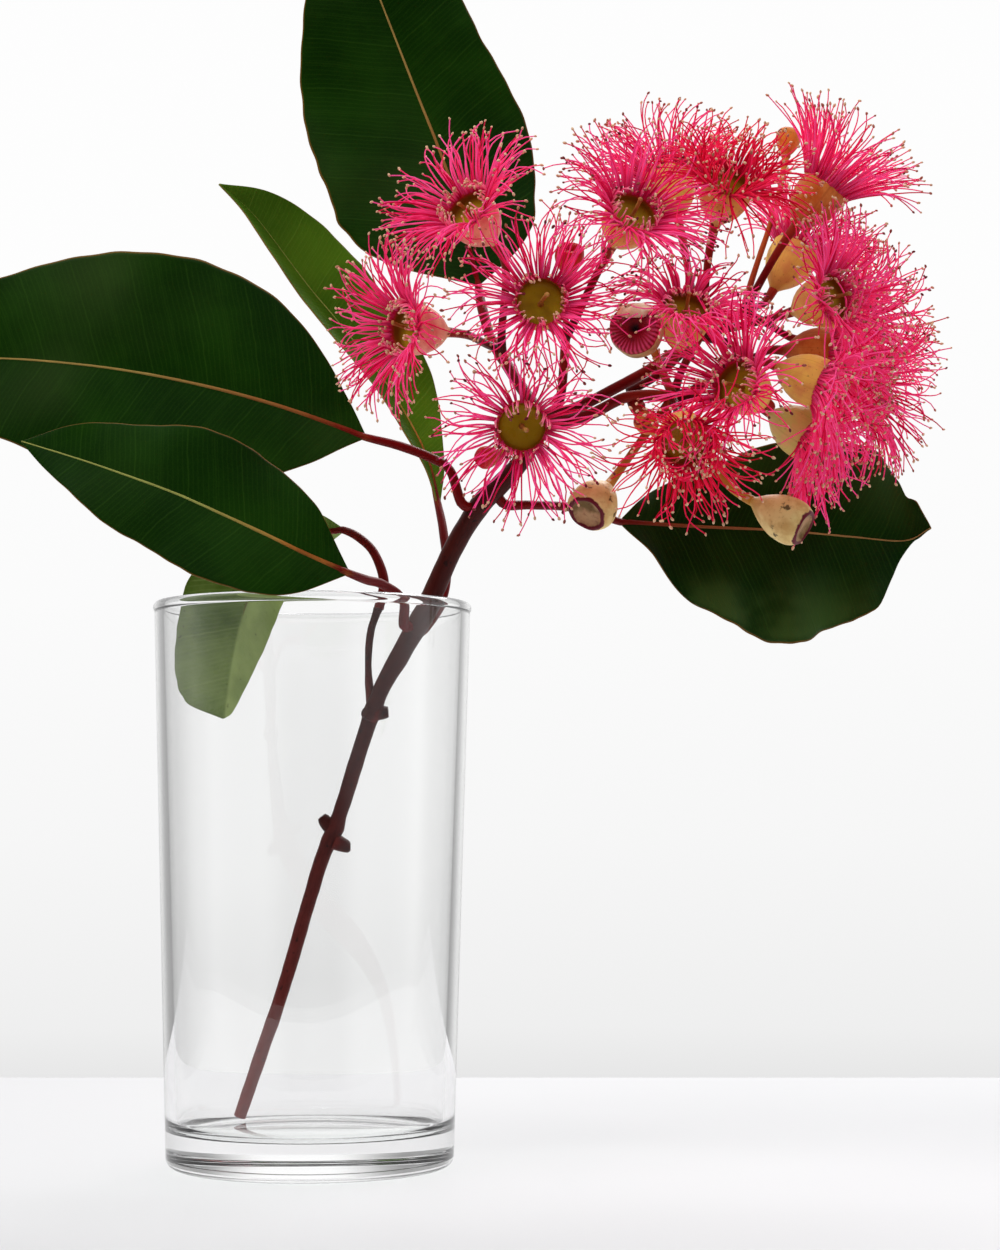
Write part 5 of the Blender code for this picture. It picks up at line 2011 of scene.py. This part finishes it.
@dataclass
class Scrap:
    """What is left of a bud's cap, domed, and still hanging on the upper edge of the disc.

    Its sizes are shares of the bud's radius, and the disc is a share of its length, but the dome and the lens
    are in millimetres.
    """

    bud: Bud
    width: float = 0.7
    height: float = 0.3
    rise: float = 0.62
    droop: float = 0.3
    overhang: float = 0.8
    disc: float = 0.96
    dome: float = 0.7
    steps: int = 24
    lens: tuple[tuple[float, float], ...] = (
        (0, 0), (0.4, 0), (0.8, 0), (1, 0.15), (0.97, 0.35), (0.75, 0.42), (0.4, 0.42), (0, 0.42),
    )

    def add(self, draft: Draft, draw: random.Random) -> None:
        """Adds the scrap to the bud's mesh.

        Args:
            draft: The bud's mesh.
            draw: The bud's random numbers.
        """
        r, turn, base = self.bud.radius, facing(self.bud.faces), self.bud.base()
        up = turn.inverted() @ Vector((0, 0, 1))
        up = Vector((up.x, up.y, 0)).normalized()
        beside = Vector((-up.y, up.x, 0))
        ragged = [draw.uniform(0.88, 1.12) for _ in range(self.steps)]

        def scrap(spot: Spot) -> Vector:
            """Places a spot of the scrap, ragged along its edge.

            Args:
                spot: The spot, its radius 1 at the edge.

            Returns:
                The point.
            """
            reach = spot.radius * ragged[round(spot.angle / math.tau * self.steps) % self.steps]
            flat = beside * math.cos(spot.angle) * reach * self.width * r
            flat += up * (self.rise * r + math.sin(spot.angle) * reach * self.height * r)
            lift = self.bud.length * self.disc + self.dome * (1 - spot.radius**2) + spot.height
            lift -= self.droop * max(0.0, flat.length / r - self.overhang) * r
            return base + turn @ (flat + Vector((0, 0, lift)))

        draft.lathe(self.lens, self.steps, scrap, 1)


@dataclass
class BudShape:
    """The body of one bud: an urn with a low cap, or with the flat disc of its folded stamens.

    The body and the tops are shares of the bud's radius and length.
    """

    bud: Bud
    sides: int = 136
    dents: int = 7
    dent_depth: float = 0.012
    oval: float = 0.02
    fold_height: float = 0.16
    disc_edge: float = 0.85
    body: tuple[tuple[float, float], ...] = (
        (0.6, 0.24), (0.8, 0.37), (0.94, 0.5), (1, 0.64), (0.99, 0.76),
    )
    opened_top: tuple[tuple[float, float], ...] = (
        (0.94, 0.9), (0.91, 0.96), (0.86, 0.985), (0.8, 0.965), (0.7, 0.975), (0.5, 0.95), (0.3, 0.9), (0.16, 0.84),
        (0.08, 0.8), (0, 0.79),
    )
    worn_top: tuple[tuple[float, float], ...] = (
        (0.92, 0.84), (0.82, 0.9), (0.75, 0.93), (0.7, 0.935), (0.65, 0.915), (0.58, 0.89), (0.44, 0.87),
        (0.3, 0.865), (0.18, 0.865), (0.1, 0.875), (0, 0.88),
    )

    def profile(self) -> Line:
        """Draws the section from the stalk up to the middle of the top.

        Returns:
            The radius and height of its points.
        """
        r, h = self.bud.radius, self.bud.length
        section = [(0, 0, -0.2), (min(0.9, 0.3 * r), 0, 0.0), (min(1.15, 0.3 * r + 0.25), 0, h * 0.06),
                   (0.38 * r, 0, h * 0.13)]
        shares = self.body + (self.opened_top if self.bud.opened else self.worn_top)
        fine = smooth_line(section + [(out * r, 0, up * h) for out, up in shares], 0.45)
        return [(0, fine[0][2]), *((max(0.02, point[0]), point[2]) for point in fine[1:-1]), (0, fine[-1][2])]

    def build(self) -> None:
        """Makes the bud."""
        bud, look = self.bud, self.bud.finish.value
        turn, base = facing(bud.faces), bud.base()
        draw = random.Random("bud " + bud.name)
        phase = draw.uniform(0, math.tau)
        draft = Draft("bud_" + bud.name)

        def urn(spot: Spot) -> Vector:
            """Places a spot of the bud, a little out of round, with folded stamens on its disc.

            Args:
                spot: The spot.

            Returns:
                The point.
            """
            dent = self.dent_depth * math.cos(self.dents * spot.angle)
            girth = 1 + self.oval * math.cos(3 * spot.angle + phase) + dent
            radius, height = spot.radius * girth, spot.height
            out = radius / bud.radius
            if bud.opened and spot.share > look.ring_at and out < self.disc_edge:
                height += self.fold_height * math.cos(look.folds * spot.angle + phase) * min(1.0, out * 1.6)
            return base + turn @ around(spot.angle, radius, height)

        draft.lathe(self.profile(), self.sides, urn)
        if bud.scrap:
            Scrap(bud).add(draft, draw)
        mesh = draft.mesh([bud.finish, Finishes.SCRAP] if bud.scrap else [bud.finish])
        show("bud_skin_" + bud.name, mesh, "opened_bud" if bud.opened else "bud", "bud_" + bud.name)


# The studio


@dataclass(frozen=True)
class SoftBox:
    """An area light that looks at the flowers, seen in glossy skins only where it says so."""

    name: str
    place: tuple[float, float, float]
    size: float
    power: float
    colour: Rgb
    gloss: bool = False
    aim: tuple[float, float, float] = (0.05, -0.02, 0.17)

    def build(self) -> None:
        """Hangs the light."""
        light = bpy.data.lights.new(self.name, "AREA")
        light.size = self.size
        light.energy = self.power
        light.color = self.colour
        box = bpy.data.objects.new(self.name, light)
        box.location = self.place
        box.rotation_mode = "QUATERNION"
        box.rotation_quaternion = (Vector(self.aim) - Vector(self.place)).to_track_quat("-Z", "Y")
        box.visible_glossy = self.gloss
        box.visible_transmission = False
        bpy.context.scene.collection.objects.link(box)


@dataclass
class Studio:
    """The white table, the sweep of light behind it, the soft boxes and the camera, in metres.

    The sweep is what the eye sees, and the glow is what it sees through glass, by the height of the view.
    """

    eye: tuple[float, float, float] = (0.0417, -0.6, 0.0762)
    pitch: float = math.atan2(193, 2700)
    lens: float = 77.76
    sensor: float = 36.0
    back_edge: float = 0.205
    front_reach: float = 0.287
    side_reach: float = 0.42
    back_reach: float = 0.62
    thickness: float = 0.03
    front_steps: int = 64
    edge_round: float = 0.003
    bounces: int = 24
    sweep: tuple[tuple[float, Rgb], ...] = (
        (0.0, (0.74, 0.74, 0.745)), (0.065, (0.8, 0.8, 0.8)), (0.11, (0.862, 0.862, 0.862)),
        (0.28, (0.925, 0.925, 0.925)), (0.5, (0.965, 0.965, 0.965)), (0.8, (0.985, 0.985, 0.985)),
    )
    glow: tuple[tuple[float, Rgb], ...] = (
        (0.05, (0.98, 0.98, 0.98)), (0.1, (0.975, 0.975, 0.975)), (0.135, (0.95, 0.95, 0.95)),
        (0.225, (1.02, 1.02, 1.02)), (0.35, (1.05, 1.05, 1.05)), (0.5, (1.07, 1.07, 1.07)),
    )
    boxes: tuple[SoftBox, ...] = (
        SoftBox("key", (-0.5, -0.5, 0.9), 0.5, 6.0, (1.0, 0.985, 0.96)),
        SoftBox("fill", (0.8, -0.7, 0.45), 0.7, 2.0, (0.97, 0.985, 1.0)),
        SoftBox("rim", (0.3, 0.6, 0.9), 0.6, 8.0, (1.0, 1.0, 1.0), gloss=True),
    )

    def table(self) -> None:
        """A round-fronted slab with a straight back edge, its top at the tumbler's foot."""
        shape = bmesh.new()
        turns = [math.pi * step / self.front_steps for step in range(self.front_steps + 1)]
        outline = [(-self.side_reach * math.cos(turn), -self.front_reach * math.sin(turn)) for turn in turns]
        outline += [(self.back_reach, self.back_edge), (-self.back_reach, self.back_edge)]
        top = shape.faces.new([shape.verts.new((x, y, 0.0)) for x, y in outline])
        drop = bmesh.ops.extrude_face_region(shape, geom=[top])["geom"]
        for vert in drop:
            if isinstance(vert, bmesh.types.BMVert):
                vert.co.z -= self.thickness
        bmesh.ops.recalc_face_normals(shape, faces=shape.faces)
        rims = [edge for edge in shape.edges if edge.calc_face_angle(0.0) > 1.0]
        bmesh.ops.bevel(shape, geom=rims, offset=self.edge_round, segments=4, affect="EDGES", profile=0.5)
        mesh = bpy.data.meshes.new("table")
        shape.to_mesh(mesh)
        shape.free()
        mesh.materials.append(Finishes.TABLE.material)
        slab = bpy.data.objects.new("table", mesh)
        bpy.context.scene.collection.objects.link(slab)
        LOG.info("table: %d faces", len(mesh.polygons))

    def world(self) -> None:
        """A pale sweep for the eye and through glass, and a softer room for light and gloss."""
        world = bpy.data.worlds.new("studio")
        world.use_nodes = True
        bpy.context.scene.world = world
        world.node_tree.nodes.clear()
        sheet = Sheet(world.node_tree)
        x, y, z = sheet.split(sheet.node("ShaderNodeTexCoord", out="Generated"))
        straight, through, soft, mirrored = sheet.rays(
            "Is Camera Ray", "Is Transmission Ray", "Is Diffuse Ray", "Glossy Depth"
        )
        gap = (-y).rise(0.8, 0.95) * (1 - abs(z + 0.06).rise(0.12, 0.25))
        front = soft * 0.12 + (1 - soft) * z.rise(-0.14, 0.1) * 0.12 + through * (1 - gap) * 0.5
        grey = (y.rise(-0.5, 0.65) * 0.75 + front + z.rise(0.35, 0.95) * 0.35).least(1.0)
        room = sheet.combine(grey, grey, grey)
        behind = sheet.ramp(z * 2.5 + 0.3, *self.glow)
        bent = sheet.scaled(behind, 1 - abs(x).rise(0.14, 0.6) * 0.7)
        glassy = sheet.mix(y.rise(0.0, 0.4), room, bent)
        clear = (1 - mirrored.least(1.0)) * (-y).rise(0.0, 0.3)
        glassy = sheet.mix(clear, glassy, sheet.scaled(behind, 0.92))
        colour = sheet.mix(through, room, glassy)
        colour = sheet.mix(straight, colour, sheet.ramp(z * 2.5 + 0.3, *self.sweep))
        shine = sheet.node("ShaderNodeBackground", values={"Color": colour, "Strength": 1.0})
        sheet.node("ShaderNodeOutputWorld", values={0: shine}, out=None)

    def camera(self) -> None:
        """The eye at the table's front, looking slightly up."""
        data = bpy.data.cameras.new("camera")
        data.sensor_width = self.sensor
        data.lens = self.lens
        eye = bpy.data.objects.new("camera", data)
        eye.location = self.eye
        eye.rotation_euler = (math.pi / 2 + self.pitch, 0, 0)
        bpy.context.scene.collection.objects.link(eye)
        bpy.context.scene.camera = eye

    def build(self) -> None:
        """Sets the studio up."""
        self.table()
        self.world()
        for box in self.boxes:
            box.build()
        self.camera()
        cycles = bpy.context.scene.cycles
        cycles.max_bounces = cycles.transmission_bounces = self.bounces
        view = bpy.context.scene.view_settings
        view.view_transform = "Standard"
        view.look = "None"


def write_sizes() -> None:
    """Brings the view layer up to date."""
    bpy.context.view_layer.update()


def main() -> None:
    """Builds the branch, its leaves and flowers, the tumbler and the studio."""
    logging.basicConfig(level=logging.INFO, format="%(message)s")
    Studio().build()
    Tumbler().build()
    sleeve = SleeveRule()
    Branch(sleeve).build()
    for leaf in LEAVES:
        leaf.build(sleeve)
    rule = CrownRule()
    for bloom in BLOOMS:
        Cup(bloom).build()
        Crown(bloom).build(rule)
    for bud in BUDS:
        BudShape(bud).build()
    write_sizes()


if __name__ == "__main__":
    main()
